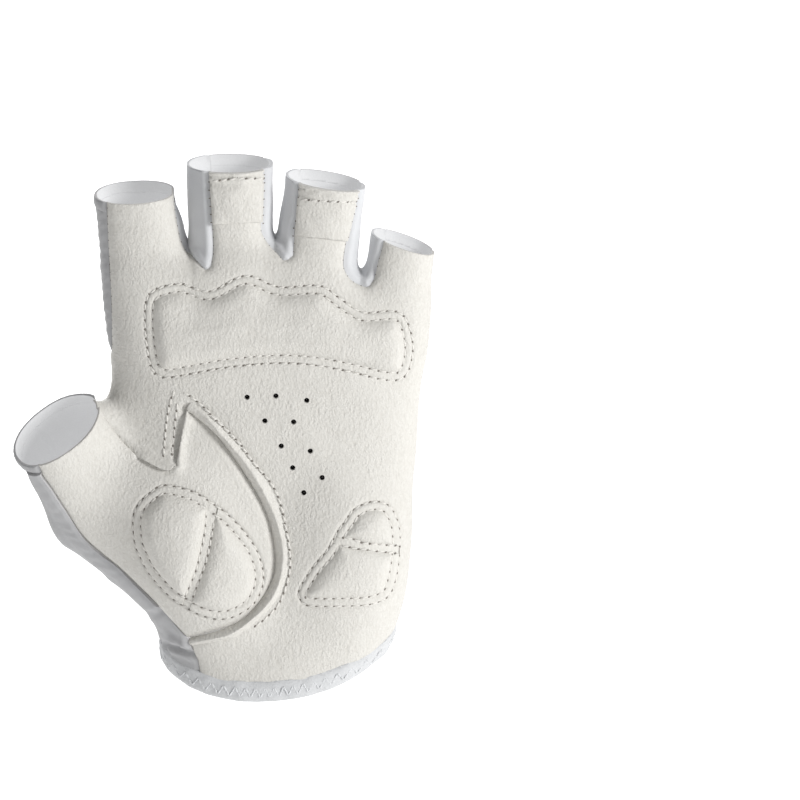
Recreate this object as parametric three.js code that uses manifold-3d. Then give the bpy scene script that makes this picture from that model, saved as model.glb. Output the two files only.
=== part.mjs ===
// Fingerless cycling glove for the left hand, held open in the form of a worn one.
// Millimetres, +Z up along the fingers, palm towards -Y, thumb towards -X.
// The origin is the centre of the wrist opening.
import * as THREE from "three";
import { mergeVertices } from "three/addons/utils/BufferGeometryUtils.js";
import Module from "manifold-3d";

const wasm = await Module();
wasm.setup();

// Driving dimensions
const WALL = 1.4;
const GAP = 0.3;
const SKIN_GAP = 0.45;
const NET_CELL = 7;
const NET_CELL_UP = 9;
const SETTLE_REACH = 2;
const SETTLE_SHARE = 0.85;
const NARROW_REACH = 4.2;
const NARROW_STEP = 2.4;
const MID_DEPTH = 2;
const BAND_HEIGHT = 6.2;
const BAND_PROUD = 0.5;
const HEM_HEIGHT = 3;
const TAB_THICKNESS = 1.1;
const TAB_OVER_RIM = 0.9;
const WELT_HEIGHT = 1.5;
const PAD_HEIGHT = 2.4;
const RIB_WIDTH = 2.2;
const RIB_HEIGHT = 0.7;
const RIB_ROOT = 0.7;
const RIB_STEPS = 8;
const RIB_EDGE = 1.2;
const PAD_SIDES = 20;
const CRUMB = 5;
const SLIVER = 0.08;
const THUMB_PLUG = 16;
const PLUG_HEIGHT = 24;
const VENT_RADIUS = 0.8;
const REACH = 90;

// The seams of the palm are drawn on a sheet that leans back by this angle, as the palm is looked at.
const SHEET_LEAN = THREE.MathUtils.degToRad(17);

// The hand that fills the glove, as level sections of its trunk.
const TRUNK = [
  { z: -26, x: 0, width: 32.2, front: 19.5, back: 18.5, square: 2.2 },
  { z: 0, x: 0, width: 32.7, front: 19.5, back: 18.5, square: 2.2 },
  { z: 20, x: 0.4, width: 35.8, front: 18.5, back: 17.5, square: 2.3 },
  { z: 40, x: 0, width: 39.4, front: 16.5, back: 16, square: 2.4 },
  { z: 70, x: -2.2, width: 43.8, front: 14.5, back: 14.5, square: 2.5 },
  { z: 95, x: -2, width: 45.2, front: 13.2, back: 13.8, square: 2.6 },
  { z: 112, x: -2.2, width: 46.2, front: 11, back: 12, square: 2.6 },
  { z: 130, x: -2.2, width: 46.2, front: 9, back: 10, square: 2.6 },
];

// Heights at which the webs between the fingers close, by place across the hand.
const WEBS = [
  { x: -60, z: 118 },
  { x: -26, z: 120.5 },
  { x: 0.5, z: 124 },
  { x: 26, z: 114 },
  { x: 60, z: 106 },
];

// Fingers as level sections, each with the middle and the lean of its open end.
const FINGERS = {
  index: {
    rows: [
      { z: 88, x: -33, width: 12.6, depth: 9.6 },
      { z: 118, x: -36.8, width: 12.6, depth: 9.6 },
      { z: 128, x: -38.6, width: 12.1, depth: 9.5 },
      { z: 139, x: -39.9, width: 11.6, depth: 9.3 },
      { z: 152, x: -41.4, width: 11.4, depth: 9.2 },
    ],
    rim: { x: -39.9, y: 0, z: 139, side: -3, toPalm: 5.4 },
  },
  middle: {
    rows: [
      { z: 90, x: -11.5, width: 12.2, depth: 9.6 },
      { z: 125, x: -12.5, width: 12.2, depth: 9.6 },
      { z: 147, x: -12.8, width: 12.4, depth: 9.5 },
      { z: 160, x: -13, width: 12.4, depth: 9.4 },
    ],
    rim: { x: -12.8, y: 0, z: 147.7, side: 0, toPalm: 1 },
  },
  ring: {
    rows: [
      { z: 88, x: 10.4, width: 12, depth: 9.3 },
      { z: 115, x: 12, width: 11.9, depth: 9.3 },
      { z: 127, x: 13.1, width: 11.8, depth: 9.2 },
      { z: 143, x: 15, width: 11.4, depth: 9 },
      { z: 155, x: 16.8, width: 11.3, depth: 8.9 },
    ],
    rim: { x: 15, y: 0, z: 142.7, side: 9.3, toPalm: 1 },
  },
  little: {
    rows: [
      { z: 84, x: 32.5, width: 10.6, depth: 8.2 },
      { z: 105, x: 34.4, width: 10.2, depth: 8 },
      { z: 124, x: 37.2, width: 9.3, depth: 7.7 },
      { z: 136, x: 39, width: 9.1, depth: 7.5 },
    ],
    rim: { x: 37.2, y: 0, z: 124.3, side: 19.5, toPalm: 1 },
  },
};
const FINGER_OVERRUN = 7;
const ROOT_BLEND = 12;
const TRUNK_FOOT = -22;
const FINGER_SQUARE = 2.15;

// The thumb as sections along its own line, from the middle of its open end inwards.
const THUMB = {
  rim: new THREE.Vector3(-62.9, -12, 71),
  along: new THREE.Vector3(-0.455, -0.406, 0.793).normalize(),
  across: new THREE.Vector3(0.791, 0.218, 0.565),
  rows: [
    { z: -66, deep: -9, width: 8, depth: 5 },
    { z: -50, deep: -5, width: 14.4, depth: 10 },
    { z: -34, deep: -1.5, width: 16.6, depth: 12.6 },
    { z: -20, deep: 0, width: 15.6, depth: 12.6 },
    { z: 0, deep: 0, width: 14, depth: 12 },
    { z: 16, deep: 0, width: 13.6, depth: 11.6 },
  ],
};

// Round muscles that swell the palm.
const MUSCLES = [
  { name: "thumb ball", x: -24, y: -8, z: 35, width: 20, depth: 14.5, height: 33, lean: 22 },
  { name: "heel of the hand", x: 20, y: -6, z: 30, width: 17, depth: 13, height: 28, lean: 0 },
];
const MUSCLE_BLEND = 9;
const FINGER_BLEND = 5;
const THUMB_BLEND = 12;
const WEB_BLEND = 6;

// Seams, on the leaning sheet: across and up.
const palmEdge = {
  indexOuter: [[-48.1, 150], [-48.1, 129.3], [-47.9, 121.2], [-47.1, 101.8], [-47.2, 88]],
  web: [[-52, 80], [-55, 68], [-43.5, 53.2]],
  crotch: [[-39.2, 56.6], [-31.3, 52.8], [-28.1, 54.2]],
  arc: [[-25.1, 70.2], [-21.5, 67.4], [-16, 62.4], [-10.4, 55.1], [-5.8, 48.1], [-3, 42.9], [-0.7, 36.8],
    [0.6, 29.6], [0.6, 24.1], [-0.7, 19.4], [-3.8, 14.2], [-8.7, 9.3], [-14.8, 6.1], [-24.9, 3.3]],
  wrist: [[-23.2, -0.6], [-21.8, -7], [-21, -40]],
  indexInner: [[-19.7, 110.6], [-25.2, 117], [-27.1, 123.5], [-28.2, 132.8], [-28.2, 150]],
  middleOuter: [[-18.6, 160], [-18.6, 139.3], [-17.4, 118.2], [-18, 111.7]],
  middleInner: [[2.9, 113.4], [-2.3, 119.8], [-3.2, 124.1], [-2.6, 138.3], [-2.6, 160]],
  ringOuter: [[7.5, 155], [7.5, 134.4], [7.1, 126.3], [6, 123], [5.6, 114.8]],
  ringInner: [[26.4, 105.9], [22.6, 107.9], [20.4, 111.9], [21.3, 118.6], [21.9, 122.7], [24.6, 132.8], [28, 155]],
  littleOuter: [[35, 140], [31.6, 118.9], [30, 113.1], [29, 108.2]],
};
const webBottoms = [[-18.9, 110.8], [4.1, 113.5], [27.4, 105.9]];
const thumbSeam = [[-36, 15.5], [-44.4, 23.8], [-49.6, 27.8], [-54.4, 32.2], [-58.1, 37.4],
  [-60.7, 41.5], [-64.2, 47.3], [-66.8, 51], [-67.9, 54.2], [-76, 68]];
const thumbTop = [[-66, 84], [-51.7, 73.6], [-37.9, 57.4]];

const weltOuter = [[-20.5, 70.4], [-14.8, 63.4], [-8.1, 55.4], [-3.8, 48.6], [0.7, 39.2], [2.8, 31.6], [2.8, 25.5],
  [1.2, 19.4], [-2.7, 13.5], [-11.3, 6.1], [-18.7, 4.1]];

const PADS = {
  knuckle_pad: [[-36.4, 88.2], [-37, 95.7], [-36.5, 101.8], [-33.8, 104.9], [-26.7, 106.5], [-18.6, 104.4],
    [-10.4, 108.2], [-5.8, 108.5], [1.7, 105.6], [13.3, 105.9], [19.9, 101.8], [25.8, 98.3], [34.8, 98.6],
    [38.2, 95], [38.6, 84], [35, 78.6], [20.9, 81.5], [11, 83.2], [0.6, 83.7], [-13.2, 82.5], [-24.1, 80.6],
    [-32, 79.8], [-34.9, 82]],
  thenar_pad_outer: [[-31.3, 48.4], [-37.1, 45], [-40.6, 38.9], [-40, 31], [-36.5, 23.2], [-30.2, 16.8],
    [-26.5, 15.9], [-23.6, 21.8], [-21.8, 27], [-20.3, 34.8], [-19.6, 41.4], [-23.2, 46.4]],
  thenar_pad_inner: [[-17.1, 39.6], [-18, 33.9], [-19.1, 28.1], [-20.8, 22.6], [-23, 15.6], [-21.6, 11.6],
    [-15.1, 9.9], [-9.9, 11], [-5.2, 15.1], [-2.9, 20.9], [-4.6, 28.7], [-8.7, 35.1], [-14.4, 40.8]],
  heel_pad_upper: [[22.6, 39.8], [19.6, 35.6], [18.6, 32.6], [22.4, 32.9], [27.8, 31.6], [33.4, 31.4],
    [34.8, 36], [34, 42.2], [28.6, 43.6]],
  heel_pad_lower: [[17, 30.8], [15.2, 28.8], [11.9, 25.5], [7.5, 18.6], [7.3, 15.6], [9.9, 13.7], [20.4, 13.3],
    [28, 13.8], [31.6, 16], [33.2, 22], [33.6, 28], [26, 29.6], [21.4, 30.6]],
};
const TABS = {
  pull_tab_middle: { finger: "middle", edge: [[-18, 155], [-17, 123.6], [-3.7, 124.4], [-3.2, 155]] },
  pull_tab_ring: { finger: "ring", edge: [[8, 155], [6.7, 120.6], [20.8, 118.9], [24, 131], [28, 155]] },
};
const VENTS = [[-7.6, 73.9], [0.7, 74.3], [9.6, 73], [-2.5, 67.1], [5.8, 66.8], [2.2, 59.8], [10.6, 58.4],
  [5.5, 53.5], [14, 50.7], [8.7, 46.3]];

// Ribs of the knit: their place across the back at five heights, and where each one ends.
const RIB_LEVELS = { wrist: -12, low: 40, knuckle: 95, root: 114, tip: 145 };
const RIBS = [
  { wrist: -31.5, low: -37.9, knuckle: -42.9, root: -44.8, tip: -48.4, end: 150 },
  { wrist: -25.2, low: -26.2, knuckle: -29.3, root: -31, tip: -37.8, end: 150 },
  { wrist: -14.2, low: -14.2, knuckle: -15.7, root: -18.4, tip: -34, end: 119 },
  { wrist: -3, low: -2.5, knuckle: -3.7, root: -7.6, tip: -12.4, end: 160 },
  { wrist: 7.9, low: 9.2, knuckle: 9.4, root: 0.5, tip: -3.2, end: 160 },
  { wrist: 17.7, low: 18.8, knuckle: 19.2, root: 12, tip: -8, end: 121 },
  { wrist: 25.5, low: 27.5, knuckle: 27.4, root: 20.6, tip: 20.8, end: 155 },
  { wrist: 31.4, low: 35, knuckle: 34.2, root: 29.4, tip: 26, end: 110 },
  { wrist: 35, low: 40.4, knuckle: 40.6, root: 38.2, tip: 40.6, start: 52, end: 140 },
];
const THUMB_RIBS = [
  { x: -46, from: 14, to: 68 },
  { x: -54, from: 24, to: 82 },
  { x: -62, from: 34, to: 80 },
  { x: -69.5, from: 48, to: 74 },
];

const COLOURS = {
  leather: { color: 0xe9e5de, roughness: 0.55 },
  knit: { color: 0xe3dddd, roughness: 0.9 },
  stretch: { color: 0xe6e9eb, roughness: 0.7 },
  elastic: { color: 0xe2e7ea, roughness: 0.75 },
};

// Value of one column of a table between its rows.
function column(rows, key, at, name) {
  let upper = rows.findIndex((row) => row[key] > at);
  if (upper === 0) upper = 1;
  if (upper < 0) upper = rows.length - 1;
  const low = rows[upper - 1];
  const high = rows[upper];
  const share = THREE.MathUtils.clamp((at - low[key]) / (high[key] - low[key]), 0, 1);
  const ease = share * share * (3 - 2 * share) * 0.4 + share * 0.6;
  return low[name] + (high[name] - low[name]) * ease;
}

function softMin(a, b, blend) {
  const share = Math.max(blend - Math.abs(a - b), 0) / blend;
  return Math.min(a, b) - (share * share * blend) / 4;
}

function softMax(a, b, blend) {
  return -softMin(-a, -b, blend);
}

// Distance, nearly, of a point from an oval with half sizes a and b and squareness n.
function fromOval(dx, dy, a, b, n) {
  const across = Math.max(Math.abs(dx) / a, 1e-6);
  const deep = Math.max(Math.abs(dy) / b, 1e-6);
  const size = Math.pow(Math.pow(across, n) + Math.pow(deep, n), 1 / n);
  const slope = Math.pow(size, 1 - n);
  const gx = (slope * Math.pow(across, n - 1)) / a;
  const gy = (slope * Math.pow(deep, n - 1)) / b;
  return (size - 1) / Math.hypot(gx, gy);
}

function rimNormal(rim) {
  const side = THREE.MathUtils.degToRad(rim.side);
  const forward = THREE.MathUtils.degToRad(rim.toPalm);
  return new THREE.Vector3(Math.sin(side), -Math.sin(forward), Math.cos(side)).normalize();
}

function fromTrunk(p) {
  const at = (name) => column(TRUNK, "z", p.z, name);
  const depth = p.y < 0 ? at("front") : at("back");
  const tube = fromOval(p.x - at("x"), p.y, at("width"), depth, at("square"));
  const capped = softMax(tube, p.z - column(WEBS, "x", p.x, "z"), WEB_BLEND);
  return Math.max(capped, TRUNK_FOOT - p.z);
}

function fromFinger(p, finger) {
  const at = (name) => column(finger.rows, "z", p.z, name);
  const tube = fromOval(p.x - at("x"), p.y, at("width"), at("depth"), FINGER_SQUARE);
  const rim = finger.rim;
  const past = new THREE.Vector3(p.x - rim.x, p.y - rim.y, p.z - rim.z).dot(rimNormal(rim));
  return softMax(Math.max(tube, past - FINGER_OVERRUN), finger.rows[0].z - p.z, ROOT_BLEND);
}

const thumbDeep = new THREE.Vector3().crossVectors(THUMB.along, THUMB.across).normalize();
const thumbAcross = new THREE.Vector3().crossVectors(thumbDeep, THUMB.along).normalize();

function fromThumb(p) {
  const arm = p.clone().sub(THUMB.rim);
  const z = arm.dot(THUMB.along);
  const at = (name) => column(THUMB.rows, "z", z, name);
  const deep = arm.dot(thumbDeep) - at("deep");
  const tube = fromOval(arm.dot(thumbAcross), deep, at("width"), at("depth"), FINGER_SQUARE);
  return softMax(Math.max(tube, z - FINGER_OVERRUN), THUMB.rows[0].z - z, THUMB_BLEND);
}

function fromMuscle(p, muscle) {
  const lean = THREE.MathUtils.degToRad(muscle.lean);
  const dx = p.x - muscle.x;
  const dz = p.z - muscle.z;
  const across = (dx * Math.cos(lean) + dz * Math.sin(lean)) / muscle.width;
  const up = (dz * Math.cos(lean) - dx * Math.sin(lean)) / muscle.height;
  const deep = (p.y - muscle.y) / muscle.depth;
  const size = Math.max(Math.hypot(across, up, deep), 1e-6);
  const slope = Math.hypot(across / muscle.width, up / muscle.height, deep / muscle.depth) / size;
  return (size - 1) / slope;
}

// Below 0 inside the hand, 0 on its skin, above 0 outside.
function fromHand(p) {
  let value = fromTrunk(p);
  for (const muscle of MUSCLES) value = softMin(value, fromMuscle(p, muscle), MUSCLE_BLEND);
  let fingers = Infinity;
  for (const finger of Object.values(FINGERS)) fingers = Math.min(fingers, fromFinger(p, finger));
  value = softMin(value, fingers, FINGER_BLEND);
  return softMin(value, fromThumb(p), THUMB_BLEND);
}

function outward(p) {
  const step = 0.25;
  const slope = (x, y, z) =>
    fromHand(new THREE.Vector3(p.x + x, p.y + y, p.z + z)) - fromHand(new THREE.Vector3(p.x - x, p.y - y, p.z - z));
  return new THREE.Vector3(slope(step, 0, 0), slope(0, step, 0), slope(0, 0, step)).divideScalar(2 * step);
}

// Moves a point onto the skin of the hand.
function settle(p) {
  for (let turn = 0; turn < 5; turn += 1) {
    const slope = outward(p);
    p.addScaledVector(slope, -fromHand(p) / Math.max(slope.lengthSq(), 0.05));
  }
  return p;
}

// Lines of the sampling grid, closer where a narrow gap is.
function gridLines(start, end, cell, narrow = []) {
  const lines = [];
  for (let at = start; at <= end + 1e-6; at += cell) {
    if (narrow.every((place) => Math.abs(place - at) > NARROW_REACH)) lines.push(at);
  }
  for (const place of narrow) {
    for (const shift of [-NARROW_STEP, 0, NARROW_STEP]) lines.push(place + shift);
  }
  return lines.sort((a, b) => a - b);
}

// A closed net of four-sided faces over the place where the field is 0.
function netOver(field, xs, ys, zs) {
  const [nx, ny, nz] = [xs.length, ys.length, zs.length];
  const node = (i, j, k) => (k * ny + j) * nx + i;
  const values = new Float64Array(nx * ny * nz);
  for (let k = 0; k < nz; k += 1) {
    for (let j = 0; j < ny; j += 1) {
      for (let i = 0; i < nx; i += 1) values[node(i, j, k)] = field(new THREE.Vector3(xs[i], ys[j], zs[k]));
    }
  }
  const corners = [];
  for (let c = 0; c < 8; c += 1) corners.push([c & 1, (c >> 1) & 1, (c >> 2) & 1]);
  const edges = [];
  for (let a = 0; a < 8; a += 1) {
    for (const bit of [1, 2, 4]) if (!(a & bit)) edges.push([a, a | bit]);
  }
  const points = [];
  const pointOf = new Map();
  for (let k = 0; k < nz - 1; k += 1) {
    for (let j = 0; j < ny - 1; j += 1) {
      for (let i = 0; i < nx - 1; i += 1) {
        const sum = new THREE.Vector3();
        let count = 0;
        for (const [a, b] of edges) {
          const [ca, cb] = [corners[a], corners[b]];
          const va = values[node(i + ca[0], j + ca[1], k + ca[2])];
          const vb = values[node(i + cb[0], j + cb[1], k + cb[2])];
          if (va < 0 === vb < 0) continue;
          const pa = new THREE.Vector3(xs[i + ca[0]], ys[j + ca[1]], zs[k + ca[2]]);
          const pb = new THREE.Vector3(xs[i + cb[0]], ys[j + cb[1]], zs[k + cb[2]]);
          sum.add(pa.lerp(pb, va / (va - vb)));
          count += 1;
        }
        if (count > 0) {
          pointOf.set(node(i, j, k), points.length);
          const start = sum.divideScalar(count);
          const move = settle(start.clone()).sub(start).clampLength(0, SETTLE_REACH);
          points.push(start.addScaledVector(move, SETTLE_SHARE));
        }
      }
    }
  }
  const faces = [];
  const steps = [[1, 0, 0], [0, 1, 0], [0, 0, 1]];
  for (let k = 1; k < nz - 1; k += 1) {
    for (let j = 1; j < ny - 1; j += 1) {
      for (let i = 1; i < nx - 1; i += 1) {
        for (let axis = 0; axis < 3; axis += 1) {
          const [di, dj, dk] = steps[axis];
          const inside = values[node(i, j, k)] < 0;
          if (inside === values[node(i + di, j + dj, k + dk)] < 0) continue;
          const u = steps[(axis + 1) % 3];
          const v = steps[(axis + 2) % 3];
          const cell = (a, b) =>
            pointOf.get(node(i - a * u[0] - b * v[0], j - a * u[1] - b * v[1], k - a * u[2] - b * v[2]));
          const quad = [cell(1, 1), cell(0, 1), cell(0, 0), cell(1, 0)];
          faces.push(inside ? quad : quad.reverse());
        }
      }
    }
  }
  return { points, faces };
}

const WEB_GAPS = [-26.6, 0.9, 26];
const net = netOver(
  fromHand,
  gridLines(-90, 60, NET_CELL, WEB_GAPS),
  gridLines(-43, 34, NET_CELL),
  gridLines(-31, 170, NET_CELL_UP),
);
const normals = net.points.map((p) => outward(p).normalize());

function solidFromArrays(positions, indices) {
  return new wasm.Manifold(
    new wasm.Mesh({ numProp: 3, vertProperties: new Float32Array(positions), triVerts: new Uint32Array(indices) }),
  );
}

// The hand's form grown by a distance, or shrunk where that is below 0.
function handForm(grow) {
  const positions = [];
  const grown = net.points.map((p, i) => p.clone().addScaledVector(normals[i], grow));
  for (const p of grown) positions.push(p.x, p.y, p.z);
  const indices = [];
  for (const [a, b, c, d] of net.faces) {
    const shorter = net.points[a].distanceTo(net.points[c]) < net.points[b].distanceTo(net.points[d]);
    if (shorter) indices.push(a, b, c, a, c, d);
    else indices.push(a, b, d, b, c, d);
  }
  return solidFromArrays(positions, indices);
}

function solidOf(geometry) {
  const bare = geometry.index ? geometry.toNonIndexed() : geometry.clone();
  bare.deleteAttribute("normal");
  bare.deleteAttribute("uv");
  const merged = mergeVertices(bare, 1e-4);
  return solidFromArrays(merged.attributes.position.array, merged.index.array);
}

// An outline moved outwards by a distance, or inwards where that is below 0.
function growOutline(points, grow) {
  const turn = THREE.ShapeUtils.isClockWise(points) ? -1 : 1;
  return points.map((point, i) => {
    const before = points[(i + points.length - 1) % points.length];
    const after = points[(i + 1) % points.length];
    const one = new THREE.Vector2(point.y - before.y, before.x - point.x).normalize();
    const two = new THREE.Vector2(after.y - point.y, point.x - after.x).normalize();
    const side = one.add(two);
    const scale = Math.min(2 / Math.max(side.lengthSq(), 0.3), 2.5);
    return point.clone().addScaledVector(side, scale * grow * turn);
  });
}

function toVectors(pairs) {
  return pairs.map(([across, up]) => new THREE.Vector2(across, up));
}

// A prism through an outline on the leaning sheet.
function sheetPrism(pairs, grow = 0) {
  const outline = growOutline(toVectors(pairs), grow);
  const geometry = new THREE.ExtrudeGeometry(new THREE.Shape(outline), { depth: 2 * REACH, bevelEnabled: false });
  geometry.translate(0, 0, -REACH);
  geometry.rotateX(Math.PI / 2 - SHEET_LEAN);
  return solidOf(geometry);
}

// A prism through an outline on an upright sheet, across and up.
function uprightPrism(outline) {
  const geometry = new THREE.ExtrudeGeometry(new THREE.Shape(outline), { depth: 2 * REACH, bevelEnabled: false });
  geometry.translate(0, 0, -REACH);
  geometry.rotateX(Math.PI / 2);
  return solidOf(geometry);
}

// A block that fills the space on the far side of a plane.
function blockBeyond(point, normal, width, depth, height) {
  const geometry = new THREE.BoxGeometry(width, depth, height);
  geometry.translate(0, 0, height / 2);
  const turn = new THREE.Quaternion().setFromUnitVectors(new THREE.Vector3(0, 0, 1), normal);
  geometry.applyQuaternion(turn);
  geometry.translate(point.x, point.y, point.z);
  return solidOf(geometry);
}

// A ribbon of even width about a line of points.
function ribbon(line, width) {
  const side = (i) => {
    const before = line[Math.max(i - 1, 0)];
    const after = line[Math.min(i + 1, line.length - 1)];
    return new THREE.Vector2(after.y - before.y, before.x - after.x).normalize();
  };
  const right = line.map((p, i) => p.clone().addScaledVector(side(i), width / 2));
  const left = line.map((p, i) => p.clone().addScaledVector(side(i), -width / 2));
  return right.concat(left.reverse());
}

// The lower edge of the glove, by place on the wrist.
function hemHeight(x, y) {
  const dip = y < 0 ? 9.5 : 3.5;
  return 0.5 + 0.08 * x - dip * Math.pow(Math.min(Math.abs(y) / 19.5, 1.3), 1.8);
}

// Everything below the wrist's edge raised by a distance.
function belowHem(raise) {
  const steps = 14;
  const size = 110;
  const positions = [];
  const indices = [];
  const floor = -60;
  for (const flat of [false, true]) {
    for (let j = 0; j <= steps; j += 1) {
      for (let i = 0; i <= steps; i += 1) {
        const x = (i / steps - 0.5) * size;
        const y = (j / steps - 0.5) * size;
        positions.push(x, y, flat ? floor : hemHeight(x, y) + raise);
      }
    }
  }
  const row = steps + 1;
  const under = row * row;
  for (let j = 0; j < steps; j += 1) {
    for (let i = 0; i < steps; i += 1) {
      const a = j * row + i;
      indices.push(a, a + 1, a + row + 1, a, a + row + 1, a + row);
      indices.push(under + a, under + a + row + 1, under + a + 1, under + a, under + a + row, under + a + row + 1);
    }
  }
  const wall = (a, b) => indices.push(a, under + a, under + b, a, under + b, b);
  for (let i = 0; i < steps; i += 1) {
    wall(i, i + 1);
    wall(steps * row + i + 1, steps * row + i);
    wall((i + 1) * row, i * row);
    wall(i * row + steps, (i + 1) * row + steps);
  }
  return solidFromArrays(positions, indices);
}

function fingerBlock(finger, lower, grow = 0) {
  const rim = finger.rim;
  const normal = rimNormal(rim);
  const point = new THREE.Vector3(rim.x, rim.y, rim.z).addScaledVector(normal, -lower);
  const width = column(finger.rows, "z", rim.z, "width") + 1.2 + grow;
  return blockBeyond(point, normal, 2 * width, 60, PLUG_HEIGHT);
}

// A round plug over the thumb's open end.
function thumbBlock(lower) {
  const geometry = new THREE.CylinderGeometry(THUMB_PLUG, THUMB_PLUG, PLUG_HEIGHT, 18);
  geometry.translate(0, PLUG_HEIGHT / 2, 0);
  geometry.applyQuaternion(new THREE.Quaternion().setFromUnitVectors(new THREE.Vector3(0, 1, 0), THUMB.along));
  const point = THUMB.rim.clone().addScaledVector(THUMB.along, -lower);
  geometry.translate(point.x, point.y, point.z);
  return solidOf(geometry);
}

const halfSpaceFront = blockBeyond(
  new THREE.Vector3(0, MID_DEPTH, 60), new THREE.Vector3(0, -1, 0), 400, 400, 100,
);
const halfSpaceFrontGrown = blockBeyond(
  new THREE.Vector3(0, MID_DEPTH + GAP, 60), new THREE.Vector3(0, -1, 0), 400, 400, 100,
);
const thumbFront = (grow) => blockBeyond(
  THUMB.rim.clone().addScaledVector(thumbDeep, grow), thumbDeep.clone().negate(), 300, 300, 100,
);

const palmOutline = [
  ...palmEdge.indexOuter, ...palmEdge.web, ...palmEdge.crotch, ...palmEdge.arc, ...palmEdge.wrist,
  [62, -40], [62, 130], ...palmEdge.littleOuter, webBottoms[2], ...palmEdge.ringInner, ...palmEdge.ringOuter,
  webBottoms[1], ...palmEdge.middleInner, ...palmEdge.middleOuter, webBottoms[0], ...palmEdge.indexInner,
];
const thumbOutline = [
  ...thumbTop, ...palmEdge.crotch, ...palmEdge.arc, ...thumbSeam,
];
const crotchOutlines = {
  fourchette_index_middle: [...palmEdge.indexInner.slice().reverse(), webBottoms[0],
    ...palmEdge.middleOuter.slice().reverse()],
  fourchette_middle_ring: [...palmEdge.middleInner.slice().reverse(), webBottoms[1],
    ...palmEdge.ringOuter.slice().reverse()],
  fourchette_ring_little: [...palmEdge.ringInner.slice().reverse(), webBottoms[2],
    ...palmEdge.littleOuter.slice().reverse()],
};

// Where a rib runs, as a line on an upright sheet.
function ribLine(rib) {
  const levels = Object.entries(RIB_LEVELS).map(([name, z]) => new THREE.Vector2(rib[name], z));
  const curve = new THREE.SplineCurve(levels);
  const from = rib.start ?? RIB_LEVELS.wrist;
  return curve.getPoints(RIB_STEPS).filter((p) => p.y >= from && p.y <= rib.end + NET_CELL);
}

// All the ribs as one skin, ready to be joined to the back of the glove.
function ribSkin() {
  const lines = RIBS.map(ribLine);
  for (const rib of THUMB_RIBS) lines.push([new THREE.Vector2(rib.x, rib.from), new THREE.Vector2(rib.x, rib.to)]);
  const layer = handForm(RIB_HEIGHT).subtract(handForm(-RIB_ROOT));
  const prisms = lines.map((line) => uprightPrism(ribbon(line, RIB_WIDTH)));
  const grid = prisms.reduce((all, prism) => all.add(prism));
  return layer.intersect(grid).subtract(halfSpaceFrontGrown).subtract(thumbFront(RIB_EDGE));
}

const outerForm = handForm(0);
const innerForm = handForm(-WALL);
let shell = outerForm.subtract(innerForm).add(ribSkin());
for (const finger of Object.values(FINGERS)) shell = shell.subtract(fingerBlock(finger, 0));
shell = shell.subtract(thumbBlock(0));
const panels = shell.subtract(belowHem(BAND_HEIGHT + GAP));

const pieces = {};
const thumbZone = (grow) => sheetPrism(thumbOutline, grow).intersect(thumbFront(grow));
const palmZone = (grow) => sheetPrism(palmOutline, grow).intersect(grow > 0 ? halfSpaceFrontGrown : halfSpaceFront);

function ventPrism([across, up]) {
  const geometry = new THREE.CylinderGeometry(VENT_RADIUS, VENT_RADIUS, REACH, 8);
  geometry.rotateX(Math.PI / 2);
  geometry.translate(across, up, REACH / 2);
  geometry.rotateX(Math.PI / 2 - SHEET_LEAN);
  return solidOf(geometry);
}

pieces.palm_panel = panels.intersect(palmZone(-GAP / 2)).subtract(thumbZone(GAP / 2));
for (const vent of VENTS) pieces.palm_panel = pieces.palm_panel.subtract(ventPrism(vent));
pieces.thumb_panel = panels.intersect(thumbZone(-GAP / 2)).intersect(halfSpaceFront);
let back = panels.subtract(palmZone(GAP / 2)).subtract(thumbZone(GAP / 2).intersect(halfSpaceFrontGrown));
for (const [name, outline] of Object.entries(crotchOutlines)) {
  pieces[name] = panels.intersect(sheetPrism(outline, -GAP / 2));
  back = back.subtract(sheetPrism(outline, GAP / 2));
}
for (const [name, finger] of Object.entries(FINGERS)) {
  pieces[`hem_${name}`] = back.intersect(fingerBlock(finger, HEM_HEIGHT));
  back = back.subtract(fingerBlock(finger, HEM_HEIGHT + GAP));
}
pieces.hem_thumb = back.intersect(thumbBlock(HEM_HEIGHT));
back = back.subtract(thumbBlock(HEM_HEIGHT + GAP));
pieces.back_panel = back;

const bandForm = handForm(BAND_PROUD).subtract(handForm(-WALL));
pieces.wrist_band = bandForm.intersect(belowHem(BAND_HEIGHT)).subtract(belowHem(0));

for (const [name, tab] of Object.entries(TABS)) {
  const skin = handForm(SKIN_GAP + TAB_THICKNESS).subtract(handForm(SKIN_GAP));
  const over = -TAB_OVER_RIM;
  pieces[name] = skin.intersect(sheetPrism(tab.edge)).intersect(halfSpaceFront)
    .subtract(fingerBlock(FINGERS[tab.finger], over, 2));
}
const weltLine = [...palmEdge.arc, ...weltOuter.slice().reverse()];
pieces.thumb_welt = handForm(SKIN_GAP + WELT_HEIGHT).subtract(handForm(SKIN_GAP))
  .intersect(sheetPrism(weltLine)).intersect(halfSpaceFront);

// The point of the palm's skin that lies at a place on the leaning sheet.
const sheetUp = new THREE.Vector3(0, Math.sin(SHEET_LEAN), Math.cos(SHEET_LEAN));
const sheetOut = new THREE.Vector3(0, -Math.cos(SHEET_LEAN), Math.sin(SHEET_LEAN));
function onPalm(across, up) {
  const at = (out) => new THREE.Vector3(across, 0, 0).addScaledVector(sheetUp, up).addScaledVector(sheetOut, out);
  let outside = REACH;
  while (fromHand(at(outside)) > 0 && outside > -REACH) outside -= 2;
  let inside = outside;
  outside += 2;
  for (let turn = 0; turn < 16; turn += 1) {
    const half = (inside + outside) / 2;
    if (fromHand(at(half)) > 0) outside = half;
    else inside = half;
  }
  return at(outside);
}

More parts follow.
